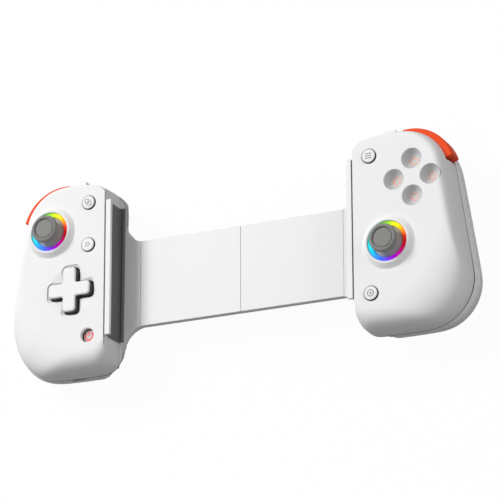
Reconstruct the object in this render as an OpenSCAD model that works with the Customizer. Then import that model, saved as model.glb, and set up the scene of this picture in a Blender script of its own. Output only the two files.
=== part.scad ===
// Stretch-type phone game controller: two grips on a bridge that pulls apart around a phone.
// Millimetres, +Z up, lying on its rear faces with the buttons up.

/* [Grips] */
// Distance from the middle of the bridge to the inner wall of each grip
wall_x = 69.3; // [66:0.1:80]
// Width of a grip from its inner wall to its outer side
grip_w = 59; // [57:0.5:64]
// Top of the grips above the origin
grip_top = 50.5; // [49:0.5:56]
// Depth of the grips below the origin
grip_low = 52; // [50:0.5:58]
// Height of the front face
face_z = 37; // [36:0.5:40]
// Height of the line where the front and rear covers meet
seam_z = 20; // [19:0.5:21]
// Wall thickness of the covers
wall = 2; // [1.6:0.1:2.2]

/* [Bridge] */
// Height of the bridge across the phone
bridge_h = 46; // [40:1:52]
// Middle of the bridge, measured up from the origin
bridge_y = -5; // [-8:0.5:0]
// Thickness of the bridge
bridge_t = 7; // [7:0.1:8]
// Half length of the bridge panels
panel_x = 57; // [56:0.5:60]
// Largest pull of the bridge
pull = 60; // [30:1:66]

/* [Phone cradle] */
// How far the lip reaches over the phone
lip_reach = 3.2; // [2:0.1:5]
// Length of the lip and of the pad
lip_len = 72.6; // [50:0.2:76]
// Thickness of the rubber pad
pad_t = 0.9; // [0.8:0.1:1.5]

/* [Sticks] */
// Diameter of the stick caps
cap_d = 14.6; // [12:0.2:15]
// Height of the stick caps above the face
cap_up = 8.7; // [8.4:0.1:10]
// Outer diameter of the light rings
light_d = 20.7; // [20:0.1:21.2]
// Height of the collar around a light ring
collar_up = 1.8; // [1.5:0.1:2]

/* [Buttons] */
// Diameter of the small round buttons
key_d = 6.8; // [5:0.1:7.4]
// Diameter of the four face buttons
face_d = 10.4; // [8:0.1:11]
// Distance of each face button from the middle of its group
face_off = 9.65; // [9.2:0.05:10.2]
// Gap around the buttons in their holes
key_gap = 0.25; // [0.15:0.05:0.4]
// Span of the direction pad
pad_span = 23.5; // [20:0.5:25]
// Width of the arms of the direction pad
arm_w = 7.2; // [6:0.2:8]

/* [Fits] */
// Play of the moving pins in their holes, on the radius
play = 0.05; // [0.03:0.01:0.08]
// Gap between sliding faces
slip = 0.2; // [0.15:0.05:0.3]

/* [Hidden] */
$fn = 36;
white = [0.93, 0.93, 0.93];
shade = [0.3, 0.3, 0.3];
grey = [0.49, 0.485, 0.48];
orange = [0.95, 0.33, 0.17];
steel = [0.7, 0.7, 0.72];
green = [0.1, 0.32, 0.2];
black = [0.08, 0.08, 0.085];
ring_n = 48;
lower = -grip_low;
// Circles that carry the outline: outward from the wall, up, radius
seam_c = [
  [10.6, grip_top - 17.9, 15.8], [grip_w - 33.7, grip_top - 25.4, 25.4],
  [grip_w - 25, lower + 25, 25], [8.3, lower + 10.6, 10.6]
];
face_c = [
  [7.8, grip_top - 12.3, 8], [grip_w - 38.5, grip_top - 25.5, 22],
  [grip_w - 33.5, lower + 33, 12], [10, lower + 25, 11]
];
rear_c = [
  [13, grip_top - 22.5, 6], [grip_w - 33, grip_top - 30.5, 14],
  [grip_w - 29, lower + 30, 15], [16, lower + 24, 10]
];
flange_x = -5.3;
// Slope of the rear of a grip beside the phone, from upright
slope_a = 32;
// Edge of the neck at the bridge, from the wall
neck_x = -4.9;
rim_z = seam_z + 0.8;
roof_z = face_z - wall;
// Shoulder circle that the bumper and the trigger follow
sh = [wall_x + grip_w - 30.5, grip_top - 22.5];
sh_r = 22.5;
bump_z0 = seam_z + 0.5;
bump_z1 = seam_z + 10;
bump_pin = [sh[0] + 19 * cos(98), sh[1] + 19 * sin(98)];
trig_y = sh[1] + 8;
trig_z = seam_z - 7;
// Lower edge of the trigger and of its opening
trig_low = sh[1] + 13.3;
trig_cut = sh[1] + 10.2;
// Inner end of the top key
top_x = grip_w - 44.3;
top_w = 6.4;
rail_z = seam_z - 1.2;
// Places of the controls, outward from the wall and up
upper = [31.1, grip_top - 26.9];
inner = [19, -9.5];
face_p = [31.85, grip_top - 27.7];
key_x = 9.3;
key_hi = grip_top - 13.5;
key_mid = 14;
key_lo = lower + 17.4;
screw_p = [[11, grip_top - 24.5], [37, -3], [28, lower + 21]];
// Stick: turning point, dome radius
piv_z = face_z - 9;
dome_r = 12.4;
ring_z0 = face_z + collar_up - 0.9;
board_z = seam_z + 0.8;
// Lip over the phone: lower face, thickness
lip_t = 2.7;
lip_z = face_z - 1.5 - lip_t;
board_t = 1.2;
chip_z = board_z + board_t;
cap_z = face_z + cap_up;
// Bridge levels
b_z0 = seam_z - bridge_t;
b_hw = bridge_h / 2;
skin = 1.2;
// Bevel along the rear edges of the bridge
bevel = 3;
chan_hw = b_hw - bevel - 0.9;
car_z0 = b_z0 + skin + slip;
car_z1 = rail_z - slip;
car_hw = chan_hw - 0.3;
car_l = 50;
lid_t = 1;
rack_z0 = car_z0 + 1.1;
rack_t = car_z1 - lid_t - 0.3 - rack_z0;
spring_y = 12.2;
// Gear: teeth, pitch radius, half thickness of a tooth
teeth = 14;
pitch_r = 7;
base_r = pitch_r * cos(20);
half_t = PI / 4 - 0.08;

// Smooth convex outline around four circles, one point for each direction
function reach(c, a) = c[0] * cos(a) + c[1] * sin(a) + c[2];
function weigh(c, a, d) = exp(0.6 * (reach(c, a) - d));
function far(cs, a) = max([for (c = cs) reach(c, a)]);
function blend(cs, a, ws, s) = [
  sum([for (i = [0:3]) ws[i] * cs[i][0]]) / s + sum([for (i = [0:3]) ws[i] * cs[i][2]]) / s * cos(a),
  sum([for (i = [0:3]) ws[i] * cs[i][1]]) / s + sum([for (i = [0:3]) ws[i] * cs[i][2]]) / s * sin(a)
];
function sum(v, i = 0) = i == len(v) ? 0 : v[i] + sum(v, i + 1);
function spot(cs, a) = let(ws = [for (c = cs) weigh(c, a, far(cs, a))]) blend(cs, a, ws, sum(ws));
function outline(cs) = [for (i = [0:ring_n - 1]) spot(cs, 360 * (i + 0.5) / ring_n)];
function inset(cs, d) = [for (c = cs) [c[0], c[1], c[2] - d]];
// One ring of a loft: share u of the way from the core outline to the wide one
function level(wide, core, u, z, least) = [
  for (i = [0:ring_n - 1])
    [wall_x + max(core[i][0] + (wide[i][0] - core[i][0]) * u, least),
     core[i][1] + (wide[i][1] - core[i][1]) * u, z]
];
function bulge(t, n) = pow(1 - pow(t, n), 1 / n);
// Solid through a stack of rings, lowest first
module loft(rings) {
  n = ring_n;
  m = len(rings);
  polyhedron(
    points = [for (r = rings) each r],
    faces = concat(
      [[for (i = [0:n - 1]) i]],
      [for (k = [0:m - 2]) for (i = [0:n - 1]) [k * n + i, (k + 1) * n + i, k * n + (i + 1) % n]],
      [for (k = [0:m - 2]) for (i = [0:n - 1])
        [(k + 1) * n + i, (k + 1) * n + (i + 1) % n, k * n + (i + 1) % n]],
      [[for (i = [n - 1:-1:0]) (m - 1) * n + i]]
    ),
    convexity = 6
  );
}
// Front half of a grip; cut is the inset of the hollow
module front_body(cut, least, z0) {
  w = outline(inset(seam_c, cut));
  q = outline(face_c);
  h = face_z - cut - rim_z;
  loft(concat(
    [level(w, q, 1, z0, least), level(w, q, 1, rim_z, least)],
    [for (t = [0.3, 0.55, 0.76, 0.91, 0.98, 1]) level(w, q, bulge(t, 2), rim_z + h * t, least)]
  ));
}
// Rear half of a grip; its inner side and its low inner corner slope in under the seam
module rear_body(cut, least, top) {
  w = outline(inset(seam_c, cut));
  q = outline(rear_c);
  low = seam_c[3];
  difference() {
    loft(concat(
      [for (t = [1, 0.94, 0.8, 0.6, 0.35])
        level(w, q, bulge(t, 2.2), cut + (seam_z - cut) * (1 - t), -99)],
      [level(w, q, 1, seam_z, -99)],
      top > seam_z ? [level(w, q, 1, top, -99)] : []
    ));
    translate([wall_x + least, 0, seam_z]) rotate([0, -slope_a, 0]) translate([-60, -150, -80])
      cube([60, 300, 160]);
    translate([wall_x + low[0], low[1], seam_z]) rotate([0, 0, 225])
      translate([low[2] + 0.2 - cut, 0, 0]) rotate([0, slope_a, 0]) translate([0, -100, -80])
        cube([60, 200, 160]);
  }
}
// Puts a right-hand shape on the left grip
module lefty() { mirror([1, 0, 0]) children(); }
// Moves to a place on a grip
module at(p, z = 0) { translate([wall_x + p[0], p[1], z]) children(); }
// Wedge between two angles about the shoulder
module sector(a0, a1, r, z0, z1) {
  translate([sh[0], sh[1], z0]) linear_extrude(z1 - z0)
    polygon(concat([[0, 0]], [for (i = [0:6]) let(a = a0 + (a1 - a0) * i / 6) [r * cos(a), r * sin(a)]]));
}
// Small tube lying along X
module xrod(p, r, x0, x1) {
  translate([x0, p[0], p[1]]) rotate([0, 90, 0]) cylinder(r = r, h = x1 - x0);
}

// Covers
module front_shell() {
  difference() {
    front_body(0, 0, seam_z);
    front_body(wall, wall, seam_z - 1);
  }
  for (p = screw_p) at(p, chip_z) cylinder(r = 2.6, h = roof_z + 0.6 - chip_z);
  translate([bump_pin[0], bump_pin[1], bump_z1 + 0.3]) cylinder(r = 1.7, h = roof_z + 0.2 - bump_z1 - 0.3);
}
module bumper_notch() {
  difference() {
    sector(10.6, 104.5, 40, seam_z - 1, bump_z1 + 0.3);
    translate([sh[0], sh[1], seam_z - 2]) cylinder(r = 15, h = 14, $fn = 48);
  }
}
module common_cuts() {
  bumper_notch();
  translate([bump_pin[0], bump_pin[1], seam_z]) cylinder(r = 0.82, h = 12.6);
  for (p = screw_p) at(p, seam_z) cylinder(r = 1.05, h = 9.5);
  // Slot of the top key
  translate([wall_x + top_x - key_gap, grip_top - 10, seam_z + 4.8]) cube([top_w + 2 * key_gap, 14, 5.4]);
}
module collar(p) {
  at(p, face_z - 4) cylinder(r = 14.2, h = 4);
  at(p, face_z) cylinder(r1 = 14.2, r2 = 11.5, h = collar_up);
}
module stick_hole(p) {
  at(p, ring_z0) cylinder(d = light_d + 0.1, h = 4);
  at(p, face_z - 5.5) cylinder(r1 = 12.7, r2 = 8.65, h = ring_z0 - face_z + 5.51);
  at(p, face_z - 8) cylinder(r = 12.8, h = 4);
}
module key_hole(y) {
  at([key_x, y], face_z - 6) cylinder(r = key_d / 2 + key_gap, h = 9);
  at([key_x, y], face_z - 0.7) cylinder(r1 = key_d / 2 + key_gap, r2 = key_d / 2 + key_gap + 1, h = 1);
}
module left_front_cover() {
  color(white) lefty() difference() {
    union() {
      front_shell();
      collar(upper);
      at(inner, face_z - 3.2) cylinder(r = 14.5, h = 2);
    }
    common_cuts();
    stick_hole(upper);
    key_hole(key_hi);
    key_hole(key_mid);
    key_hole(key_lo);
    at(inner, face_z - 1) cylinder(r1 = 12.2, r2 = 13.4, h = 1.2);
    at(inner) cross_bar(0.6, face_z - 6, face_z + 4);
  }
}
module right_front_cover() {
  color(white) difference() {
    union() {
      front_shell();
      collar(inner);
      for (a = [0:90:270]) face_at(a)
        translate([0, 0, face_z - 3.6]) cylinder(r = face_d / 2 + 1.4, h = 2.2);
    }
    common_cuts();
    stick_hole(inner);
    key_hole(key_hi);
    key_hole(key_lo);
    for (a = [0:90:270]) face_at(a) {
      translate([0, 0, face_z - 8]) cylinder(r = face_d / 2 + key_gap, h = 12);
      translate([0, 0, face_z - 8]) cylinder(r = face_d / 2 + 1.1, h = 4.4);
    }
  }
}
module face_at(a) { at([face_p[0] + face_off * cos(a), face_p[1] + face_off * sin(a)]) children(); }
// Hollow curve between the bridge and a grip; it widens to the rear like the bevel
module fillet_cut(x, y, r) {
  translate([x, y, b_z0]) {
    translate([0, 0, -1]) cylinder(r = r + bevel, h = 1.01, $fn = 60);
    cylinder(r1 = r + bevel, r2 = r, h = bevel, $fn = 60);
    cylinder(r = r, h = bridge_t + 1, $fn = 60);
  }
}
module neck() {
  h0 = bridge_y - b_hw;
  x1 = wall_x + neck_x;
  difference() {
    translate([panel_x, h0 - 12.3, b_z0]) cube([x1 + 4 - panel_x, bridge_h + 12.3 + 8.8, bridge_t]);
    fillet_cut(x1 - 8.8, h0 + bridge_h + 8.8, 8.8);
    fillet_cut(x1 - 9.7, h0 - 12.3, 12.3);
  }
}
module rear_shell() {
  difference() {
    union() {
      difference() {
        rear_body(0, flange_x, 0);
        rear_body(wall, wall + 1, seam_z + 1);
        // Opening behind the trigger
        translate([sh[0] - 4.2, trig_cut, -1]) cube([40, 40, seam_z - 0.2]);
      }
      neck();
      for (p = screw_p) at(p, 1) cylinder(r = 3.2, h = board_z - 1);
      translate([bump_pin[0], bump_pin[1], rail_z]) {
        cylinder(r = 1.9, h = seam_z - rail_z - 0.1);
        translate([-1.7, 0, 0]) cube([3.2, 2.8, seam_z - rail_z - 0.1]);
      }
      // Bearings of the trigger pin
      translate([sh[0] - 6.6, sh[1] + 3, trig_z - 4]) cube([2.2, 16, 10]);
      translate([sh[0] + 11.2, sh[1] - 2, 3.5]) cube([2.2, 7, trig_z - 0.9]);
      translate([sh[0] + 11.2, sh[1] + 4, trig_z - 3]) cube([2.2, 6.6, 5.6]);
    }
    xrod([trig_y, trig_z], 1.02, sh[0] - 6, sh[0] + 14);
    translate([bump_pin[0], bump_pin[1], rail_z - 1]) cylinder(r = 0.82, h = 4);
    for (p = screw_p) at(p, -1) {
      cylinder(r = 1.2, h = board_z + 2);
      cylinder(r = 2.3, h = 5);
    }
  }
}
module left_rear_cover() {
  color(white) lefty() difference() {
    rear_shell();
    port_form(1.7, lower - 2, 12);
  }
}
module right_rear_cover() { color(white) rear_shell(); }
module port_form(r, y, l) {
  hull() for (s = [-1, 1])
    at([23.2 + 2.9 * s, y], seam_z - 2) rotate([-90, 0, 0]) cylinder(r = r, h = l, $fn = 24);
}
module charge_port() {
  color(steel) lefty() {
    difference() {
      port_form(1.65, lower + 0.7, 7);
      port_form(1.3, lower - 1, 7.5);
    }
    at([20, lower + 1.6], seam_z - 2.35) cube([6.4, 5.5, 0.7]);
  }
}

// Bridge
module right_bridge_front() {
  color(white) translate([0.15, bridge_y - b_hw, rail_z]) cube([panel_x - 0.15, bridge_h, seam_z - rail_z]);
}
module left_bridge_front() {
  lefty() right_bridge_front();
}
module bridge_back() {
  color(white) difference() {
    translate([0.15, bridge_y, 0]) rotate([90, 0, 90]) linear_extrude(panel_x - 0.15) polygon([
      [bevel - b_hw, b_z0], [b_hw - bevel, b_z0], [b_hw, b_z0 + bevel],
      [b_hw, rail_z], [-b_hw, rail_z], [-b_hw, b_z0 + bevel]
    ]);
    translate([-1, bridge_y - chan_hw, b_z0 + skin]) cube([car_l + 3, 2 * chan_hw, bridge_t]);
    for (s = [-1, 1]) xrod([bridge_y + spring_y * s, rack_z0 + rack_t / 2], 0.62, car_l, panel_x - 1);
  }
}
module right_bridge_back() { bridge_back(); }
module left_bridge_back() { lefty() bridge_back(); }
// Rack on the upper side, teeth towards the middle
module rack() {
  color(shade) translate([0, bridge_y, rack_z0]) {
    translate([-car_l - 2, pitch_r + 1.1, 0]) cube([car_l + 2 + 36, 2.9, rack_t]);
    for (i = [-2:10]) translate([i * PI, pitch_r, 0]) linear_extrude(rack_t) polygon([
      [-half_t - 1.2 * tan(20), 1.2], [-half_t + 0.8 * tan(20), -0.8],
      [half_t - 0.8 * tan(20), -0.8], [half_t + 1.2 * tan(20), 1.2]
    ]);
  }
}
module left_rack() { rack(); }
module right_rack() { translate([0, 2 * bridge_y, 0]) rotate([0, 0, 180]) rack(); }
module carriage_tray() {
  color(shade) {
    difference() {
      translate([-car_l, bridge_y - car_hw, car_z0]) cube([2 * car_l, 2 * car_hw, car_z1 - lid_t - car_z0]);
      translate([-car_l - 1, bridge_y - car_hw + 1, car_z0 + 0.8]) cube([2 * car_l + 2, 2 * car_hw - 2, 9]);
    }
    translate([0, bridge_y, car_z0 + 0.4]) cylinder(r = 1.5, h = car_z1 - lid_t - car_z0 - 0.4);
  }
}
module carriage_lid() {
  color(shade) translate([-car_l, bridge_y - car_hw, car_z1 - lid_t]) cube([2 * car_l, 2 * car_hw, lid_t]);
}
function roll(r) = let(c = acos(base_r / max(r, base_r))) (tan(c) * 180 / PI - c);
function flank(r) = half_t / pitch_r * 180 / PI + roll(pitch_r) - roll(r);
module sync_pinion() {
  rs = [pitch_r - 1.1, base_r, 7, 7.4, pitch_r + 0.8];
  color(white) translate([0, bridge_y, rack_z0]) difference() {
    linear_extrude(rack_t) polygon([
      for (k = [0:teeth - 1]) let(a = 90 + 360 / teeth * (k + 0.5)) each concat(
        [for (i = [0:4]) let(b = a - flank(rs[i])) [rs[i] * cos(b), rs[i] * sin(b)]],
        [for (i = [4:-1:0]) let(b = a + flank(rs[i])) [rs[i] * cos(b), rs[i] * sin(b)]]
      )
    ]);
    translate([0, 0, -1]) cylinder(r = 1.5 + play, h = rack_t + 2);
  }
}
module return_springs() {
  color(steel) for (s = [-1, 1]) {
    p = [bridge_y + spring_y * s, rack_z0 + rack_t / 2];
    xrod(p, 0.9, -38, 38);
    xrod(p, 0.6, -54, -37);
    xrod(p, 0.6, 37, 54);
  }
}
module flex_cable() {
  color(black) translate([-car_l - 2, bridge_y + car_hw - 3.3, rack_z0 + 0.6])
    cube([2 * car_l + 4, 2, 0.3]);
}

// Phone cradle
module lip() {
  color(white) translate([wall_x - lip_reach, 0.8 - lip_len / 2, lip_z]) cube([lip_reach, lip_len, lip_t]);
}
module pad() {
  y0 = 0.8 - lip_len / 2;
  color(shade) {
    translate([wall_x - pad_t, y0, seam_z]) cube([pad_t, lip_len, lip_z - seam_z]);
    translate([wall_x, y0, seam_z]) linear_extrude(0.9)
      polygon([[0, 0], [0, lip_len], [-3.4, lip_len], [-3, 0]]);
    hull() for (e = [[-2.1, 0], [-2.5, lip_len - 0.1]])
      translate([wall_x + e[0], y0 + e[1], seam_z + 0.7]) rotate([-90, 0, 0])
        cylinder(r = 0.6, h = 0.1, $fn = 20);
  }
}
module right_cradle_lip() { lip(); }
module left_cradle_lip() { lefty() lip(); }
module right_cradle_pad() { pad(); }
module left_cradle_pad() { lefty() pad(); }

// Sticks
module light_ring(p) {
  color([0.9, 0.5, 0.8]) at(p, ring_z0) difference() {
    cylinder(d = light_d, h = 0.8);
    translate([0, 0, -1]) cylinder(d = light_d - 4.4, h = 3);
  }
}
module stick_housing(p) {
  color(black) at(p, chip_z) difference() {
    translate([-7, -7, 0]) cube([14, 14, piv_z + 1.5 - chip_z]);
    translate([-6, -6, 1]) cube([12, 12, 20]);
    translate([-9, 0, piv_z - chip_z]) rotate([0, 90, 0]) cylinder(r = 0.8 + play, h = 18);
  }
}
module outer_yoke(p) {
  color(steel) at(p, piv_z) {
    difference() {
      translate([-5.2, -5.2, -1.5]) cube([10.4, 10.4, 3]);
      translate([-3.5, -3.5, -3]) cube([7, 7, 6]);
      translate([0, -9, 0]) rotate([-90, 0, 0]) cylinder(r = 0.8 + play, h = 18);
    }
    for (s = [-1, 1]) translate([s > 0 ? 4.4 : -7, 0, 0]) rotate([0, 90, 0]) cylinder(r = 0.8, h = 2.6);
  }
}
module inner_yoke(p) {
  color(shade) at(p, piv_z) difference() {
    union() {
      translate([-2.9, -2.9, -1.5]) cube([5.8, 5.8, 3]);
      translate([0, -5, 0]) rotate([-90, 0, 0]) cylinder(r = 0.8, h = 10);
    }
    translate([0, 0, -4]) cylinder(r = 1.5 + play, h = 8);
  }
}
module stick_shaft(p) {
  color(steel) at(p, piv_z - 4) cylinder(r = 1.5, h = cap_z - 3.2 - piv_z + 4);
}
// Cap, stem and dome in one turned piece; the dome covers the hole at every tilt
module stick_cap(p) {
  c = cap_z - piv_z;
  a = cap_d / 2;
  color(grey) at(p, piv_z) rotate_extrude($fn = 40) polygon(concat(
    [for (b = [64, 51.2, 38.4, 25.6, 12.8, 7.8]) (dome_r - 1.2) * [sin(b), cos(b)]],
    [[1.52, dome_r - 1.3], [1.52, c - 3.2], [0, c - 3.2], [0, c - 0.7], [a * 0.6, c - 0.7],
     [a * 0.72, c - 0.55], [a * 0.78, c - 0.1], [a * 0.86, c], [a - 0.35, c - 0.45],
     [a, c - 1.2], [a, c - 2.1], [a - 0.7, c - 2.7],
     [3.4, c - 2.9], [3.4, sqrt(pow(dome_r, 2) - 11.56)]],
    [for (i = [0:4]) dome_r * [sin(24 + 10 * i), cos(24 + 10 * i)]]
  ));
}
module left_light_ring() { lefty() light_ring(upper); }
module right_light_ring() { light_ring(inner); }
module left_stick_housing() { lefty() stick_housing(upper); }
module right_stick_housing() { stick_housing(inner); }
module left_stick_outer_yoke() { lefty() outer_yoke(upper); }
module right_stick_outer_yoke() { outer_yoke(inner); }
module left_stick_inner_yoke() { lefty() inner_yoke(upper); }
module right_stick_inner_yoke() { inner_yoke(inner); }
module left_stick_shaft() { lefty() stick_shaft(upper); }
module right_stick_shaft() { stick_shaft(inner); }
module left_stick_cap() { lefty() stick_cap(upper); }
module right_stick_cap() { stick_cap(inner); }

// Direction pad on a cross joint
module cross_bar(g, z0, z1) {
  l = pad_span / 2 + g;
  w = arm_w / 2 + g;
  translate([-l, -w, z0]) cube([2 * l, 2 * w, z1 - z0]);
  translate([-w, -l, z0]) cube([2 * w, 2 * l, z1 - z0]);
}
module dpad_cross() {
  color(white) lefty() at(inner) difference() {
    union() {
      cross_bar(0, face_z - 3.8, face_z + 2.6);
      for (s = [-1, 1])
        translate([-1.8, s * 4.6 - 0.8, piv_z - 0.6]) cube([3.6, 1.6, face_z - 3.7 - piv_z + 0.6]);
    }
    translate([0, -7, piv_z + 1]) rotate([-90, 0, 0]) cylinder(r = 0.8 + play, h = 14);
  }
}
module dpad_rocker() {
  color(steel) lefty() at(inner, piv_z + 1) {
    translate([-2.6, -2.6, -1.5]) cube([5.2, 5.2, 3]);
    rotate([0, 90, 0]) translate([0, 0, -5.2]) cylinder(r = 0.8, h = 10.4);
    rotate([-90, 0, 0]) translate([0, 0, -5.2]) cylinder(r = 0.8, h = 10.4);
  }
}
module dpad_seat() {
  color(black) lefty() at(inner) difference() {
    union() {
      for (s = [-1, 1]) translate([s * 4.6 - 0.8, -1.8, chip_z]) cube([1.6, 3.6, piv_z + 2.6 - chip_z]);
      translate([-6, -2.4, chip_z]) cube([12, 4.8, 1]);
    }
    translate([-7, 0, piv_z + 1]) rotate([0, 90, 0]) cylinder(r = 0.8 + play, h = 14);
  }
}

// Buttons
module key(y, top) {
  color(white) at([key_x, y]) {
    translate([0, 0, face_z - 3]) cylinder(d = key_d, h = 3 + top);
    translate([0, 0, face_z - 3.4]) cylinder(r = key_d / 2 + 0.9, h = 1.1);
    translate([0, 0, chip_z + 3.5]) cylinder(r = 1.4, h = face_z - 3.2 - chip_z - 3.5);
  }
}
module share_button() { lefty() key(key_hi, 1); }
module turbo_button() { lefty() key(key_mid, 1); }
module home_button() { lefty() key(key_lo, -1.3); }
module menu_button() { key(key_hi, 1); }
module power_button() { key(key_lo, 1); }
module face_button(a) {
  color(white) face_at(a) difference() {
    union() {
      translate([0, 0, face_z - 5]) cylinder(d = face_d, h = 4.8);
      translate([0, 0, face_z - 5]) cylinder(r = face_d / 2 + 0.8, h = 1.1);
      translate([0, 0, chip_z + 4]) cylinder(r = 1.8, h = face_z - 4.8 - chip_z - 4);
    }
    translate([0, 0, face_z + 4.6]) sphere(r = 7.2, $fn = 48);
  }
}
module east_button() { face_button(0); }
module north_button() { face_button(90); }
module west_button() { face_button(180); }
module south_button() { face_button(270); }
module top_key() {
  color(white) translate([wall_x + top_x, 0, seam_z]) {
    translate([0, grip_top - 5, 5.05]) cube([top_w, 6.5, 4.9]);
    translate([-0.8, grip_top - 6, 4.2]) cube([top_w + 1.6, 1.2, 6.6]);
  }
}
module right_top_key() { top_key(); }
module left_top_key() { lefty() top_key(); }

// Shoulder levers
module bumper() {
  h = bump_z1 - bump_z0;
  color(orange) difference() {
    union() {
      intersection() {
        translate([sh[0] - 1.4 * cos(52), sh[1] - 1.4 * sin(52), bump_z0])
          cylinder(r = sh_r + 1.8, h = h, $fn = 90);
        sector(14, 101, 40, bump_z0, bump_z1);
      }
      translate([bump_pin[0], bump_pin[1], bump_z0]) cylinder(r = 1.9, h = h);
    }
    difference() {
      translate([sh[0], sh[1], bump_z0 - 1]) cylinder(r = sh_r - 4.3, h = 12, $fn = 72);
      translate([bump_pin[0], bump_pin[1], bump_z0 - 2]) cylinder(r = 1.9, h = 14);
    }
    translate([bump_pin[0], bump_pin[1], bump_z0 - 1]) cylinder(r = 0.8 + play, h = 12);
  }
}
// Lever that carries on the shape of the rear cover, a little proud of it
module trigger() {
  color(orange) difference() {
    union() {
      intersection() {
        difference() {
          rear_body(-1, flange_x, 0);
          rear_body(3, wall + 1, seam_z + 1);
        }
        translate([sh[0] - 3.8, trig_low, 1.5]) cube([40, 40, rail_z - 0.4 - 1.5]);
      }
      xrod([trig_y, trig_z], 2.4, sh[0] - 3.8, sh[0] + 10.6);
      translate([sh[0] - 3.8, trig_y, trig_z - 1.6]) cube([12, 12, 3.6]);
    }
    xrod([trig_y, trig_z], 1 + play, sh[0] - 6, sh[0] + 12);
  }
}
module right_bumper() { bumper(); }
module left_bumper() { lefty() bumper(); }
module right_trigger() { trigger(); }
module left_trigger() { lefty() trigger(); }
module shoulder_pins() {
  color(steel) {
    translate([bump_pin[0], bump_pin[1], rail_z + 0.1]) cylinder(r = 0.8, h = bump_z1 + 2.2 - rail_z);
    xrod([trig_y, trig_z], 1, sh[0] - 5.9, sh[0] + 13.2);
  }
}
module right_shoulder_pins() { shoulder_pins(); }
module left_shoulder_pins() { lefty() shoulder_pins(); }

// Inside
module board() {
  color(green) difference() {
    union() {
      translate([wall_x + 3.5, lower + 12, board_z]) cube([34.5, grip_top - 14.5 - lower - 12, board_t]);
      at([37, face_p[1] - 11], board_z) cube([7.5, 15, board_t]);
    }
    for (p = screw_p) at(p, board_z - 1) cylinder(r = 1.3, h = 4);
  }
}
module right_board() { board(); }
module left_board() { lefty() board(); }
module case_screws() {
  color(steel) for (p = screw_p) at(p) {
    translate([0, 0, 2.4]) cylinder(r = 2.1, h = 1.6);
    translate([0, 0, 3.9]) cylinder(r = 1, h = chip_z + 3);
  }
}
module right_screws() { case_screws(); }
module left_screws() { lefty() case_screws(); }
module left_switches() {
  color(black) lefty() {
    for (y = [key_hi, key_mid, key_lo]) at([key_x - 2, y - 2], chip_z) cube([4, 4, 2.5]);
    for (a = [0:90:270])
      at([inner[0] + 8.6 * cos(a), inner[1] + 8.6 * sin(a)], chip_z)
        cylinder(r = 1.6, h = face_z - 5 - chip_z);
  }
}
module right_switches() {
  color(black) {
    for (y = [key_hi, key_lo]) at([key_x - 2, y - 2], chip_z) cube([4, 4, 2.5]);
    for (a = [0:90:270]) face_at(a) translate([0, 0, chip_z]) cylinder(r = 2.4, h = 2.5);
  }
}
module battery() { color(steel) lefty() at([16.6, lower + 28], wall + 0.1) cube([16.6, 36, 8]); }

left_front_cover();
left_rear_cover();
left_bridge_front();
left_bridge_back();
left_rack();
return_springs();
flex_cable();
left_cradle_lip();
left_cradle_pad();
left_light_ring();
left_stick_housing();
left_board();
left_switches();
dpad_seat();
battery();
charge_port();
left_screws();
left_shoulder_pins();
left_stick_outer_yoke();
left_stick_inner_yoke();
left_stick_shaft();
left_stick_cap();
dpad_rocker();
dpad_cross();
share_button();
turbo_button();
home_button();
left_top_key();
left_bumper();
left_trigger();
carriage_tray();
carriage_lid();
sync_pinion();
right_front_cover();
right_rear_cover();
right_bridge_front();
right_bridge_back();
right_rack();
right_cradle_lip();
right_cradle_pad();
right_light_ring();
right_stick_housing();
right_board();
right_switches();
right_screws();
right_shoulder_pins();
right_stick_outer_yoke();
right_stick_inner_yoke();
right_stick_shaft();
right_stick_cap();
menu_button();
power_button();
north_button();
east_button();
south_button();
west_button();
right_top_key();
right_bumper();
right_trigger();
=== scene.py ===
"""Looks of a stretch-type phone game controller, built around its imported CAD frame."""

import math

import bmesh
import bpy
import numpy as np
from mathutils import Matrix, Vector


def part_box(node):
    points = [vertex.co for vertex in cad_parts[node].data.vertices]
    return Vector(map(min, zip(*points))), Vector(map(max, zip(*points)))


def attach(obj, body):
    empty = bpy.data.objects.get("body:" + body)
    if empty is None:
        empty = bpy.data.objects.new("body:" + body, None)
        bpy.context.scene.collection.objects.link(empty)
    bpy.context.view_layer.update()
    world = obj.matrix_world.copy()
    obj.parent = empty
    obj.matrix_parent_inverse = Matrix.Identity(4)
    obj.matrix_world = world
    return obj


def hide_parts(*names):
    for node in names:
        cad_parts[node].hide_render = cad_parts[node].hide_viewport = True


bl_info = {
    "name": "Phone controller looks",
    "version": (1, 0, 0),
    "blender": (4, 5, 0),
    "location": "View3D > Sidebar > Controller",
    "description": "Dresses the CAD frame of a stretch-type phone game controller",
    "category": "Object",
}

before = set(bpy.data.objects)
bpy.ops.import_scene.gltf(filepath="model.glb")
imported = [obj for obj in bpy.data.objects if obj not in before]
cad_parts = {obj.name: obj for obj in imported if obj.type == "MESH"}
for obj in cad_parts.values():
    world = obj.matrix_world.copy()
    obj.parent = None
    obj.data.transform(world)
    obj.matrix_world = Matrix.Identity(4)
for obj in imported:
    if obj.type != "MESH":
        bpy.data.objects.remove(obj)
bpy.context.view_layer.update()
MM = 0.001
SIDES = {"left": -1, "right": 1}

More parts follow.
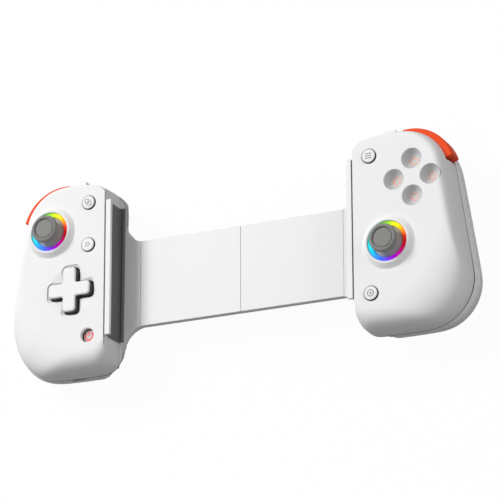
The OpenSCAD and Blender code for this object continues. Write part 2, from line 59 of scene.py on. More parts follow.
# Sizes of the frame in millimetres, read from its nodes or as its source has them
WALL_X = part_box("right_front_cover")[0].x / MM
SEAM_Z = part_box("right_front_cover")[0].z / MM
FACE_Z = SEAM_Z + 17.0
TOP_Y = 50.5
LOW_Y = -52.0
GRIP_W = 59.0
COVER_T = 2.0
RIM_Z = SEAM_Z + 0.8
SLOPE = math.tan(math.radians(32))
FLANGE = -5.3
NECK = -4.9
BEVEL = 3.2
PANEL_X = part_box("right_bridge_front")[1].x / MM
BRIDGE_LO, BRIDGE_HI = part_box("right_bridge_front")
BRIDGE_Y0, BRIDGE_Y1 = BRIDGE_LO.y / MM, BRIDGE_HI.y / MM
BRIDGE_Z0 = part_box("right_bridge_back")[0].z / MM
BRIDGE_Z1 = BRIDGE_LO.z / MM
SHOULDER = np.array([WALL_X + GRIP_W - 30.5, TOP_Y - 22.5])
SHOULDER_R = 22.5
TRIGGER_LOW = SHOULDER[1] + 13.3
TRIGGER_CUT = SHOULDER[1] + 10.2
TOP_KEY = GRIP_W - 44.3
TOP_KEY_W = 6.4

# Circles that carry the grip's outlines: out from the wall, up, radius
SEAM_CIRCLES = np.array([
    [10.6, TOP_Y - 17.9, 15.8], [GRIP_W - 33.7, TOP_Y - 25.4, 25.4],
    [GRIP_W - 25, LOW_Y + 25, 25], [8.3, LOW_Y + 10.6, 10.6]])
RIM_CIRCLES = SEAM_CIRCLES - [[0, 0, 0], [1.3, 0, 0], [2.0, 0, 0], [0, 0, 0]]
FACE_CIRCLES = np.array([
    [7.8, TOP_Y - 12.3, 8], [GRIP_W - 36.8, TOP_Y - 25.7, 21.2], [GRIP_W - 26.2, 4, 13.5],
    [GRIP_W - 32, LOW_Y + 34.5, 10.4], [10, LOW_Y + 22.5, 11]])
REAR_CIRCLES = np.array([
    [13, TOP_Y - 22.5, 6], [GRIP_W - 33, TOP_Y - 30.5, 14],
    [GRIP_W - 29, LOW_Y + 30, 15], [16, LOW_Y + 24, 10]])
CORNER_XY = SEAM_CIRCLES[3, :2] + [WALL_X, 0]
CORNER_R = SEAM_CIRCLES[3, 2]

# Powers of the superellipses of the front crown and the rear bowl
CROWN = (2.3, 2.5)
REAR_POWER = 2.2
# Inset and distance from the seam of the steps that make the seam groove
FRONT_GROOVE = ((0.6, 0.02), (0.55, 0.3), (0.1, 0.36), (0.0, 0.5))
REAR_GROOVE = ((0.0, 0.6), (0.1, 0.5), (0.62, 0.45), (0.65, 0.02))

# Places of the controls: out from the wall, up
UPPER = np.array([31.1, TOP_Y - 26.9])
INNER = np.array([19.0, -9.5])
STICKS = {"left": UPPER, "right": INNER}
FACE_MID = np.array([31.85, TOP_Y - 27.7])
FACE_OFF = 9.65
KEY_OUT = 9.3
KEY_Y = {"share": TOP_Y - 13.5, "turbo": 14.0, "home": LOW_Y + 17.4,
         "menu": TOP_Y - 13.5, "power": LOW_Y + 17.4}
KEYS = {"left": ("share", "turbo", "home"), "right": ("menu", "power")}
SCREWS = np.array([[11, TOP_Y - 24.5], [37, -3], [28, LOW_Y + 21]])

# Sizes of the controls in millimetres
STICK_BORE = 12.9
COLLAR_R = 14.1
DOME_R = 12.4
CAP_R = 7.3
KEY_R = 3.4
BOWL_R = 5.2
BOWL_DEEP = 4.0
BOWL_POWER = 3.4
CROSS_ARM = 11.75
CROSS_W = 3.6

# Points in an outline
AROUND = 200
FINE = 240
COARSE = 96


# Small helpers for colour, nodes and meshes


def linear(hex_code):
    """Turns an sRGB hex colour to the linear values that shaders take."""
    c = np.array([int(hex_code[i:i + 2], 16) for i in (1, 3, 5)]) / 255
    return tuple(np.where(c <= 0.04045, c / 12.92, ((c + 0.055) / 1.055) ** 2.4)) + (1.0,)


def add(tree, kind, settings=None, links=None):
    """Adds one shader node; settings go to sockets or attributes by name, links join sockets to it."""
    node = tree.nodes.new("ShaderNode" + kind)
    for key, value in (settings or {}).items():
        if key in node.inputs:
            node.inputs[key].default_value = value
        else:
            setattr(node, key, value)
    for key, source in (links or {}).items():
        tree.links.new(source, node.inputs[key])
    return node


def fresh(name):
    """Starts an empty node material and returns it with its tree and its Object coordinates."""
    mat = bpy.data.materials.new(name)
    mat.use_nodes = True
    tree = mat.node_tree
    tree.nodes.clear()
    coord = add(tree, "TexCoord").outputs["Object"]
    return mat, tree, coord


def close_tree(tree, shader):
    """Joins the last shader of a material to its output."""
    add(tree, "OutputMaterial", links={"Surface": shader.outputs[0]})


def at(loop, z):
    """Plan outline lifted to a height."""
    return np.c_[loop, np.full(len(loop), z)]


def upright(section, y):
    """Section in X and Z set at a place along Y."""
    return np.c_[section[:, 0], np.full(len(section), y), section[:, 1]]


def rect(x0, y0, x1, y1):
    """Corners of a rectangle, anticlockwise."""
    return np.array([[x0, y0], [x1, y0], [x1, y1], [x0, y1]], float)


def compass(k):
    """Direction of quarter turn k from +X."""
    return np.array([math.cos(k * math.pi / 2), math.sin(k * math.pi / 2)])


def grid_faces(rows, cols):
    """Quads of a grid of rows and columns whose columns close into a loop."""
    r, c = np.meshgrid(np.arange(rows - 1), np.arange(cols), indexing="ij")
    n = (c + 1) % cols
    quads = [r * cols + c, r * cols + n, (r + 1) * cols + n, (r + 1) * cols + c]
    return np.stack(quads, -1).reshape(-1, 4)


def stack_mesh(rings):
    """Closed skin over a stack of equal loops, lowest first, each given anticlockwise from above."""
    rings = np.asarray(rings, float)
    m, n = rings.shape[:2]
    faces = grid_faces(m, n).tolist()
    faces.append(list(range(n - 1, -1, -1)))
    faces.append(list(range((m - 1) * n, m * n)))
    return rings.reshape(-1, 3), faces


def turned_mesh(profile, centre, n=96):
    """Profile of radius and height carried round an upright axis; points on the axis close into poles."""
    profile = np.asarray(profile, float)
    a = np.linspace(0, 2 * np.pi, n, endpoint=False)
    r = np.maximum(profile[:, :1], 0)
    xyz = np.stack([centre[0] + r * np.cos(a), centre[1] + r * np.sin(a),
                    np.repeat(profile[:, 1:2], n, 1)], -1)
    return xyz.reshape(-1, 3), grid_faces(len(profile), n).tolist()


def arc(cx, cy, r, a0, a1, n=8):
    """Points on a circular arc between two angles in degrees."""
    a = np.radians(np.linspace(a0, a1, n))
    return np.stack([cx + r * np.cos(a), cy + r * np.sin(a)], -1)


def circle(cx, cy, r, n):
    """Points of a closed circle."""
    return arc(cx, cy, r, 0, 360, n + 1)[:-1]


def rounded(points, radii, n=7):
    """Closed outline through corner points, each corner turned into an arc of its radius."""
    pts = np.asarray(points, float)
    radii = np.broadcast_to(radii, len(pts))
    out = []
    for p, a, b, r in zip(pts, np.roll(pts, 1, 0), np.roll(pts, -1, 0), radii):
        u = (a - p) / np.linalg.norm(a - p)
        v = (b - p) / np.linalg.norm(b - p)
        half = math.acos(np.clip(u @ v, -1, 1)) / 2
        mid = (u + v) / np.linalg.norm(u + v)
        c = p + mid * r / math.sin(half)
        s = p + u * r / math.tan(half) - c
        e = p + v * r / math.tan(half) - c
        t = np.linspace(0, 1, n)[:, None]
        w = math.pi - 2 * half
        out.append(c + (np.sin((1 - t) * w) * s + np.sin(t * w) * e) / math.sin(w))
    return np.vstack(out)


def normals(loop):
    """Outward directions of an anticlockwise outline."""
    d = np.roll(loop, -1, 0) - np.roll(loop, 1, 0)
    n = np.stack([d[:, 1], -d[:, 0]], -1)
    return n / np.linalg.norm(n, axis=1)[:, None]


def slab_mesh(loop, steps):
    """Outline stacked at heights z, drawn in by an inset at each: steps are (inset, z), lowest first."""
    n = normals(loop)
    return stack_mesh([at(loop - n * i, z) for i, z in steps])


def flat_mesh(loop, z0, z1):
    """Outline carried straight up between two heights."""
    return stack_mesh([at(loop, z0), at(loop, z1)])


def box_mesh(lo, hi):
    """Block between two corners."""
    return flat_mesh(rect(*lo[:2], *hi[:2]), lo[2], hi[2])


def soft_edge(z0, z1, r, low=0.0, n=5):
    """Steps of a slab whose upper edge is a quarter round of radius r and lower edge one of radius low."""
    a = np.linspace(0, np.pi / 2, n)
    lower = np.c_[low * (1 - np.sin(a)), z0 + low * (1 - np.cos(a))] if low else np.array([[0, z0]])
    upper = np.c_[r * (1 - np.cos(a)), z1 - r * (1 - np.sin(a))]
    return np.vstack([lower, upper])


def join(*parts):
    """Several meshes as one list of points and faces."""
    verts, faces, base = [], [], 0
    for v, f in parts:
        verts.append(np.asarray(v, float))
        faces += [[i + base for i in face] for face in f]
        base += len(v)
    return np.vstack(verts), faces


def flip(mesh, side):
    """Mirrors a right-hand mesh to the left side, turning its faces so that they still point out."""
    if side > 0:
        return mesh
    v, f = mesh
    return np.asarray(v) * [-1, 1, 1], [list(face)[::-1] for face in f]


def raw_object(name, mesh):
    """Object at the origin from points in millimetres, with doubles merged and normals outward."""
    v, f = mesh
    data = bpy.data.meshes.new(name)
    data.from_pydata((np.asarray(v, float) * MM).tolist(), [], [list(map(int, face)) for face in f])
    obj = bpy.data.objects.new(name, data)
    bpy.context.scene.collection.objects.link(obj)
    bm = bmesh.new()
    bm.from_mesh(data)
    bmesh.ops.remove_doubles(bm, verts=bm.verts, dist=1e-7)
    bmesh.ops.dissolve_degenerate(bm, edges=bm.edges, dist=1e-8)
    bmesh.ops.recalc_face_normals(bm, faces=bm.faces)
    bm.to_mesh(data)
    bm.free()
    return obj


def carve(obj, tools, mode="DIFFERENCE"):
    """Cuts or joins closed meshes into an object and keeps the result as its mesh."""
    for mesh in tools:
        tool = raw_object("tool", mesh)
        mod = obj.modifiers.new("carve", "BOOLEAN")
        mod.operation = mode
        mod.solver = "MANIFOLD"
        mod.object = tool
        deps = bpy.context.evaluated_depsgraph_get()
        done = bpy.data.meshes.new_from_object(obj.evaluated_get(deps))
        if not done.polygons:
            raise RuntimeError(f"nothing is left of {obj.name} after a cut")
        obj.modifiers.clear()
        old = obj.data
        obj.data = done
        bpy.data.meshes.remove(old)
        bpy.data.objects.remove(tool)


def turn_side(obj, side):
    """Mirrors a finished right-hand object to the left side."""
    if side < 0:
        obj.data.transform(Matrix.Scale(-1, 4, (1, 0, 0)))
        obj.data.flip_normals()


def finish_piece(obj, body, slot, finishes, nodes=(), angle=32, pick=None):
    """Shades a piece, rides it on its body and hides its nodes; pick gives faces the second finish."""
    data = obj.data
    data.materials.clear()
    for key in finishes:
        data.materials.append(FINISH[key])
    n = len(data.polygons)
    data.polygons.foreach_set("use_smooth", np.ones(n, bool))
    data.set_sharp_from_angle(angle=math.radians(angle))
    if pick is not None:
        centre = np.zeros(n * 3)
        data.polygons.foreach_get("center", centre)
        normal = np.zeros(n * 3)
        data.polygons.foreach_get("normal", normal)
        chosen = pick(centre.reshape(-1, 3) / MM, normal.reshape(-1, 3))
        data.polygons.foreach_set("material_index", chosen.astype(np.int32))
    mod = obj.modifiers.new("even normals", "WEIGHTED_NORMAL")
    mod.keep_sharp = True
    data.update()
    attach(obj, body)
    if nodes:
        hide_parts(*nodes)


def piece(name, mesh, *rest):
    """Makes and finishes a piece straight from a mesh."""
    finish_piece(raw_object(name, mesh), *rest)


# Shape of a grip


def hull(circles, a, inset=0.0):
    """Convex outline at given normal directions; the circles are mixed by how far they reach."""
    d = np.stack([np.cos(a), np.sin(a)], -1)
    reach = d @ circles[:, :2].T + circles[:, 2] - inset
    w = np.exp(0.6 * (reach - reach.max(1, keepdims=True)))
    w /= w.sum(1, keepdims=True)
    return w @ circles[:, :2] + (w @ circles[:, 2] - inset)[:, None] * d


def outline(circles, n=AROUND, inset=0.0):
    """Smooth outline with points shared out half by turning angle and half by length along the seam."""
    a = np.linspace(0, 2 * np.pi, 2001)
    step = np.linalg.norm(np.diff(hull(SEAM_CIRCLES, a), axis=0), axis=1)
    run = np.r_[0, np.cumsum(step)]
    share = a / (4 * np.pi) + run / (2 * run[-1])
    return hull(circles, np.interp((np.arange(n) + 0.5) / n, share, a), inset)


def level(wide, core, u, z, least=-np.inf):
    """Loop part of the way from a core outline to a wide one, kept a least distance from the wall."""
    xy = core + (wide - core) * u
    return at(np.c_[WALL_X + np.maximum(xy[:, 0], least), xy[:, 1]], z)


def bulge(t, power, start=None):
    """Share of the way out at a height t of a superellipse; a larger start eases it into the flat."""
    return (1 - t ** power) ** (1 / (start or power))


def front_rings(n=AROUND):
    """Front half: seam groove, straight rim, then a superelliptic crown from the rim to the flat face."""
    wide, core = outline(RIM_CIRCLES, n), outline(FACE_CIRCLES, n)
    rings = [level(outline(RIM_CIRCLES, n, inset), core, 1, SEAM_Z + up) for inset, up in FRONT_GROOVE]
    for t in np.sin(np.linspace(0, np.pi / 2, 34)):
        rings.append(level(wide, core, bulge(t, *CROWN), RIM_Z + (FACE_Z - RIM_Z) * t))
    return rings


def front_hollow():
    """Inside of the front half: the same crown, drawn in by the thickness of the cover."""
    wide, core = outline(RIM_CIRCLES, COARSE, COVER_T), outline(FACE_CIRCLES, COARSE)
    h = FACE_Z - COVER_T - RIM_Z
    rings = [level(wide, core, 1, z, COVER_T) for z in (SEAM_Z - 1, RIM_Z)]
    for t in (0.38, 0.65, 0.85, 0.96, 1):
        rings.append(level(wide, core, bulge(t, *CROWN), RIM_Z + h * t, COVER_T))
    return stack_mesh(rings)


def ease(t):
    """Smooth step from 0 to 1."""
    t = np.clip(t, 0, 1)
    return t * t * (3 - 2 * t)


def corner_share(degrees):
    """How fast the low inner corner draws in with depth, most on its diagonal."""
    return 1 + 0.9 * np.sin(np.radians(2 * degrees))


def lean_in(ring, cut, least):
    """Draws a loop in behind a sloped plane on the inner side and a cone at the low inner corner."""
    drop = (SEAM_Z - ring[:, 2]) * SLOPE
    off = ring[:, :2] - CORNER_XY
    far = np.linalg.norm(off, axis=1)
    turn = np.degrees(np.arctan2(-off[:, 1], -off[:, 0]))
    r = np.maximum(CORNER_R + 0.1 - cut - drop * corner_share(turn), 1.5)
    over = (off[:, 0] < 0) & (off[:, 1] < 0) & (far > r)
    ring[over, :2] = (CORNER_XY + off * (r / far)[:, None])[over]
    # The floor of the corner rises with depth and fades out 12 mm further along
    along = off[:, 0] / 12
    floor = CORNER_XY[1] - CORNER_R - 0.1 + cut + drop * 1.1 * ease(1 - along) - 9 * ease(along)
    low = off[:, 0] >= 0
    ring[low, 1] = np.maximum(ring[low, 1], np.minimum(floor, CORNER_XY[1] - 1.5)[low])
    corner = SEAM_CIRCLES[3, 0] - CORNER_R + cut
    least = least + max(corner - least, 0) * ease((5 - off[:, 1]) / 6)
    ring[:, 0] = np.maximum(ring[:, 0], WALL_X + least + drop)
    return ring


def bowl_level(wide, core, t, z0, least=-np.inf):
    """Loop of the rear's superelliptic bowl, from t = 1 at its floor z0 to 0 at the seam."""
    return level(wide, core, bulge(t, REAR_POWER), z0 + (SEAM_Z - z0) * (1 - t), least)


def rear_rings():
    """Rear half: superelliptic bowl from the rear flat to the seam, sloping inside under the flange."""
    wide, core, rim = (outline(c) for c in (SEAM_CIRCLES, REAR_CIRCLES, RIM_CIRCLES))
    rings = []
    for t in np.sin(np.linspace(np.pi / 2, 0.03, 30)):
        near = np.clip(1 - (SEAM_Z - 0.6 - SEAM_Z * (1 - t)) / 2.6, 0, 1) ** 1.6
        rings.append(lean_in(bowl_level(wide + (rim - wide) * near, core, t, 0), 0, FLANGE))
    for inset, down in REAR_GROOVE:
        loop = outline(RIM_CIRCLES, inset=inset)
        rings.append(level(loop, core, 1, SEAM_Z - down, FLANGE + inset * 0.8))
    return rings


def rear_hollow():
    """Inside of the rear half: the same bowl, drawn in by the thickness of the cover."""
    wide, core = outline(SEAM_CIRCLES, COARSE, COVER_T), outline(REAR_CIRCLES, COARSE)
    least = COVER_T + 1
    rings = [lean_in(bowl_level(wide, core, t, COVER_T), COVER_T, least) for t in (1, 0.94, 0.8, 0.6, 0.35)]
    rings += [level(wide, core, 1, z, least) for z in (SEAM_Z - 0.5, SEAM_Z + 1)]
    return stack_mesh(rings)


FRONT_POINTS = np.array(front_rings(FINE))[len(FRONT_GROOVE):].reshape(-1, 3)


def face_height(xy):
    """Height of the front cover over plan points, read from the nearest points of its crown."""
    core = outline(FACE_CIRCLES, FINE) + [WALL_X, 0]
    out = np.full(len(xy), FACE_Z)
    d = xy[:, None] - FRONT_POINTS[None, :, :2]
    near = np.argmin((d ** 2).sum(-1), 1)
    edge = core - core.mean(0)
    rel = xy - core.mean(0)
    a_core = np.arctan2(edge[:, 1], edge[:, 0])
    order = np.argsort(a_core)
    limit = np.interp(np.arctan2(rel[:, 1], rel[:, 0]), a_core[order],
                      np.linalg.norm(edge, axis=1)[order], period=2 * np.pi)
    beyond = np.linalg.norm(rel, axis=1) > limit
    out[beyond] = FRONT_POINTS[near[beyond], 2]
    return out


def spot(place):
    """Plan point on the right side for a place given out from the wall and up."""
    return np.array([WALL_X + place[0], place[1]])


def flared_hole(centre, r, lip, depth=8.0):
    """Tool for a round hole in the face whose rim is a quarter round of radius lip."""
    a = np.linspace(0, np.pi / 2, 9)
    rim = np.c_[r + lip * (1 - np.cos(a)), FACE_Z - lip + lip * np.sin(a)]
    wide = r + lip + 2
    prof = np.vstack([[[0, FACE_Z - depth], [r, FACE_Z - depth]], rim,
                      [[wide, FACE_Z + 0.02], [wide, FACE_Z + 6], [0, FACE_Z + 6]]])
    return turned_mesh(prof, centre, 72)


# Settings and finishes


def length(name, description, mm, least, most):
    """Length setting whose default and limits are given in millimetres."""
    return bpy.props.FloatProperty(name=name, description=description, default=mm * MM, min=least * MM,
                                   max=most * MM, precision=5, unit="LENGTH")


def colour(name, description, hex_code):
    """Colour setting whose default is given as an sRGB hex code."""
    return bpy.props.FloatVectorProperty(name=name, description=description, default=linear(hex_code),
                                         size=4, min=0.0, max=1.0, subtype="COLOR")


class ControllerSizes(bpy.types.PropertyGroup):
    """Sizes of the details that the frame leaves open."""

    grain: length("Grain", "Spacing of the spark grain on the moulded covers", 0.45, 0.1, 2.0)
    dots: length("Grip dots", "Spacing of the raised dots on the rear covers", 0.8, 0.5, 3.0)
    gap: length("Key gap", "Gap between a key and its hole", 0.25, 0.1, 0.5)
    print_up: length("Print height", "Height of the printed marks above their keys", 0.03, 0.01, 0.2)


class ControllerColours(bpy.types.PropertyGroup):
    """Colours of the materials."""

    white: colour("Covers", "White of the moulded covers", "#EBEBEB")
    plate: colour("Bridge", "White of the bridge and the cradle lips", "#EEEEEE")
    # Painted shade: the seam grey goes on the faces of the seam groove and of the steps at the cradle wall
    # and lip, standing in for the shade there
    gap: colour("Seam", "Grey of the seam between the covers", "#B4B4B4")
    orange: colour("Levers", "Orange of the shoulder levers", "#E64B18")
    key: colour("Keys", "White of the keys", "#EBEBEB")
    home: colour("Home key", "Grey of the home key", "#C2C2C2")
    # Painted shade: the face buttons are set greyer than the other keys so that the shade in their bowls
    # reads deeper
    bowl: colour("Face buttons", "White of the face buttons", "#CCCCCC")
    cap: colour("Stick caps", "Grey of the stick caps", "#81807E")
    dome: colour("Stick domes", "Light grey of the domes under the caps", "#B0B0AE")
    pad: colour("Cradle pads", "Dark grey of the pads", "#676766")
    # The key sides are dark grey plastic, and their grey also paints the shade of the deep gap round the
    # keys and the direction pad
    dark: colour("Key sides", "Dark grey of the key sides", "#525252")
    black: colour("Inner parts", "Black of the parts inside", "#1B1B1C")
    mark: colour("Key marks", "Grey of the printed marks", "#8A8A8A")
    warm: colour("Face marks", "Faded orange of the face marks", "#E3AA9C")
    red: colour("Home mark", "Red of the home mark", "#E0474C")
    board: colour("Circuit boards", "Green of the circuit boards", "#1E5238")
    steel: colour("Steel", "Grey of the steel parts", "#B9BABD")


# Moulded finishes: name, roughness, grain in millimetres or None for that of the covers, depth, sheen
MOULDED = {
    # Moulded in a spark-eroded tool, so a fine grain breaks the sheen to an even satin
    "white": ("white moulded ABS", 0.7, None, 0.12, 0.2),
    "plate": ("white plate ABS", 0.7, None, 0.12, 0.2),
    # The seam finish is painted shade: the white ABS made darker where the seam groove and the steps lie in
    # shadow
    "gap": ("shadowed ABS of the seam", 0.7, None, 0.05, 0.2),
    "orange": ("orange moulded ABS", 0.55, 0.35, 0.08, 0.12),
    # Moulded in a finer tool, so the keys look smoother than the covers round them
    "key": ("white key ABS", 0.6, None, 0.05, 0.2),
    "home": ("clear-coated grey key ABS", 0.5, None, 0.05, 0.2),
    # The face buttons' white is greyed here as painted shade, to deepen the bowls
    "bowl": ("white bowl ABS", 0.7, None, 0.05, 0.15),
    # Moulded or sprayed rubber: a deeper grain and a soft, broad sheen
    "cap": ("grey soft-touch rubber", 0.68, 0.3, 0.35, 0.35),
    "dome": ("light grey soft-touch rubber", 0.7, 0.3, 0.3, 0.3),
    "pad": ("dark silicone", 0.62, 0.4, 0.3, 0.35),
    # Glass-filled nylon from the mould: slightly mottled and half matt
    # On the key and direction-pad sides this dark grey also paints the shade in the gaps round them
    "dark": ("dark moulded nylon", 0.6, 0.4, 0.15, 0.3),
    "black": ("black moulded nylon", 0.5, 0.4, 0.1, 0.5),
    # Ink laid down by a pad: thin, smooth and half glossy
    "mark": ("grey pad print", 0.5, 0.25, 0.02, 0.5),
    "warm": ("faded orange pad print", 0.5, 0.25, 0.02, 0.5),
    "red": ("red pad print", 0.5, 0.25, 0.02, 0.5),
    # Lacquer that flows level before it sets, so the board shines
    "board": ("green solder mask", 0.35, 0.8, 0.05, 0.5),
}

# Nodes that keep their solids, by finish: single ones, then those on both sides
PLAIN = {
    "steel": (("return_springs", "battery", "charge_port", "sync_pinion", "dpad_rocker"),
              ("screws", "shoulder_pins", "stick_outer_yoke", "stick_shaft")),
    "black": (("flex_cable", "dpad_seat"), ("stick_housing", "switches", "stick_inner_yoke")),
    "dark": (("carriage_tray", "carriage_lid"), ("rack",)),
    "board": ((), ("board",)),
}

# Hues of a light ring anticlockwise from the +X side, as the diodes are set
HUES = ((0.0, "#EA2A16"), (0.031, "#F03C14"), (0.086, "#F8960A"), (0.142, "#F8DC0A"), (0.197, "#D6EA14"),
        (0.25, "#86D828"), (0.36, "#2CD06C"), (0.45, "#14D8C0"), (0.531, "#14E0F0"), (0.586, "#0ABEFA"),
        (0.642, "#1E8CFF"), (0.697, "#325AFF"), (0.753, "#783CFA"), (0.808, "#C814FA"), (0.864, "#F00AC8"),
        (0.919, "#EB0A5A"), (0.975, "#E60A1E"), (1.0, "#EA2A16"))


def two_tones(tree, factor, base, share):
    """Mixes a colour with a darker share of itself and returns the socket of the result."""
    tone = add(tree, "Mix", {"data_type": "RGBA"}, {0: factor})
    tone.inputs[6].default_value = tuple(base)
    tone.inputs[7].default_value = tuple(c * share for c in base[:3]) + (1.0,)
    return tone.outputs[2]


def remap(tree, value, start=0.0, end=1.0, low=0.0, high=1.0):
    """Maps a value from one range onto another and returns the socket of the result."""
    ends = {"From Min": start, "From Max": end, "To Min": low, "To Max": high}
    return add(tree, "MapRange", ends, {"Value": value}).outputs[0]


def combine(tree, operation, a, b):
    """Joins two values by an operation and returns the socket of the result."""
    return add(tree, "Math", {"operation": operation}, {0: a, 1: b}).outputs[0]


def surface(mat, settings, links):
    """Ends a material with one principled shader."""
    tree = mat.node_tree
    close_tree(tree, add(tree, "BsdfPrincipled", settings, links))
    return mat


def moulded(name, base, rough, spacing, depth, spec):
    """Injection-moulded plastic: a fine spark-eroded grain breaks the sheen, with a faint drift in tone."""
    mat, tree, coord = fresh(name)
    fine = add(tree, "TexNoise", {"Scale": 1 / (spacing * MM), "Detail": 3.0, "Roughness": 0.6},
               {"Vector": coord}).outputs["Fac"]
    broad = add(tree, "TexNoise", {"Scale": 1 / (28 * MM), "Detail": 2.0}, {"Vector": coord})
    bump = add(tree, "Bump", {"Strength": depth, "Distance": 0.05 * MM}, {"Height": fine})
    return surface(mat, {"IOR": 1.5, "Specular IOR Level": spec},
                   {"Base Color": two_tones(tree, broad.outputs["Fac"], base, 0.965),
                    "Roughness": remap(tree, fine, low=rough - 0.05, high=rough + 0.07),
                    "Normal": bump.outputs[0]})


def dotted(name, base, spacing):
    """Moulded grip skin: rows of small raised dots below the seam, and plain satin ABS above."""
    mat, tree, coord = fresh(name)
    dots = add(tree, "TexVoronoi", {"Scale": 1 / (spacing * MM), "Randomness": 0.15}, {"Vector": coord})
    split = add(tree, "SeparateXYZ", links={"Vector": coord})
    side = add(tree, "Math", {"operation": "ABSOLUTE"}, {0: split.outputs["X"]})
    band = remap(tree, split.outputs["Z"], (SEAM_Z - 0.6) * MM, (SEAM_Z - 1.4) * MM)
    outer = remap(tree, side.outputs[0], (WALL_X + 2) * MM, (WALL_X + 8) * MM)
    height = remap(tree, dots.outputs["Distance"], 0.45, 0.15)
    lift = combine(tree, "MULTIPLY", height, combine(tree, "MULTIPLY", band, outer))
    bump = add(tree, "Bump", {"Strength": 0.6, "Distance": 0.18 * MM}, {"Height": lift})
    return surface(mat, {"IOR": 1.5, "Roughness": 0.65, "Specular IOR Level": 0.25},
                   {"Base Color": two_tones(tree, lift, base, 0.72), "Normal": bump.outputs[0]})


def glow(name, centre):
    """Frosted light guide over coloured diodes: the hue runs once round the ring in soft steps."""
    mat, tree, coord = fresh(name)
    place = (centre[0] * MM, centre[1] * MM, 0)
    local = add(tree, "Mapping", {"Location": place, "Scale": (-1, -1, 1)}, {"Vector": coord})
    turn = add(tree, "TexGradient", {"gradient_type": "RADIAL"}, {"Vector": local.outputs[0]})
    ramp = add(tree, "ValToRGB", links={"Fac": turn.outputs["Fac"]})
    points = ramp.color_ramp.elements
    for point, (where, code) in zip(points, (HUES[0], HUES[-1])):
        point.position = where
        point.color = linear(code)
    for where, code in HUES[1:-1]:
        points.new(where).color = linear(code)
    frosted = {"Roughness": 0.5, "IOR": 1.49, "Specular IOR Level": 0.1, "Emission Strength": 0.32}
    return surface(mat, frosted, {"Base Color": ramp.outputs[0], "Emission Color": ramp.outputs[0]})


def metal(name, base, rough):
    """Drawn steel: fine lengthwise streaks vary the gloss."""
    mat, tree, coord = fresh(name)
    drawn = add(tree, "Mapping", {"Scale": (1, 1, 12)}, {"Vector": coord})
    grain = add(tree, "TexNoise", {"Scale": 1 / (1.2 * MM), "Detail": 4.0}, {"Vector": drawn.outputs[0]})
    gloss = remap(tree, grain.outputs["Fac"], low=rough - 0.08, high=rough + 0.1)
    return surface(mat, {"Base Color": tuple(base), "Metallic": 1.0}, {"Roughness": gloss})


FINISH = {}


class CONTROLLER_OT_finishes(bpy.types.Operator):
    """Make the materials of the controller"""

    bl_idname = "controller.finishes"
    bl_label = "Finishes"

    def execute(self, context):
        colours, sizes = context.scene.controller_colours, context.scene.controller_sizes
        for key, (name, rough, grain, depth, spec) in MOULDED.items():
            grain = grain or sizes.grain / MM
            FINISH[key] = moulded(name, getattr(colours, key), rough, grain, depth, spec)
        FINISH["rear"] = dotted("dotted grip ABS", colours.white, sizes.dots / MM)
        FINISH["steel"] = metal("drawn steel", colours.steel, 0.32)
        for name, side in SIDES.items():
            FINISH[f"{name}_glow"] = glow(f"{name} frosted light guide", spot(STICKS[name]) * [side, 1])
        for key, (single, sided) in PLAIN.items():
            for node in single + tuple(f"{name}_{n}" for name in SIDES for n in sided):
                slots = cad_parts[node].data.materials
                slots.clear()
                slots.append(FINISH[key])
        return {"FINISHED"}


# Covers


def collar_mesh(place):
    """Crater round a stick: a rounded rim that falls in a soft curve to the face under it."""
    n = 120
    a = np.linspace(0, 2 * np.pi, n, endpoint=False)
    c = spot(place)
    d = np.stack([np.cos(a), np.sin(a)], -1)
    foot = face_height(c + d * COLLAR_R)
    rim = FACE_Z + 2.6
    inner = ((10.42, 34.0), (10.42, rim - 0.35), (10.5, rim - 0.14), (10.72, rim), (11.1, rim),
             (11.4, rim - 0.06), (11.65, rim - 0.2))
    rings = [at(c + d * r, z) for r, z in inner]
    for r in np.linspace(11.75, COLLAR_R, 18):
        u = (COLLAR_R - r) / 2.45
        fall = 1.18 * u - 0.18 if u > 0.3 else 0.174 * (u / 0.3) ** 2
        rings.append(np.c_[c + d * r, foot + (rim - 0.2 - foot) * fall - 0.03 * (r > 14.0)])
    rings.append(np.c_[c + d * COLLAR_R, foot - 2.5])
    rings.append(rings[0])
    return np.vstack(rings), grid_faces(len(rings), n)[:, ::-1].tolist()


def cross_outline(grow):
    """Outline of the direction pad: a plus sign with rounded ends and eased inner corners."""
    l, w = CROSS_ARM + grow, CROSS_W + grow
    pts = [[w, w], [l, w], [l, -w], [w, -w], [w, -l], [-w, -l],
           [-w, -w], [-l, -w], [-l, w], [-w, w], [-w, l], [w, l]]
    return rounded(pts[::-1], [1.9, 1.9, 0.9] * 4, 8)


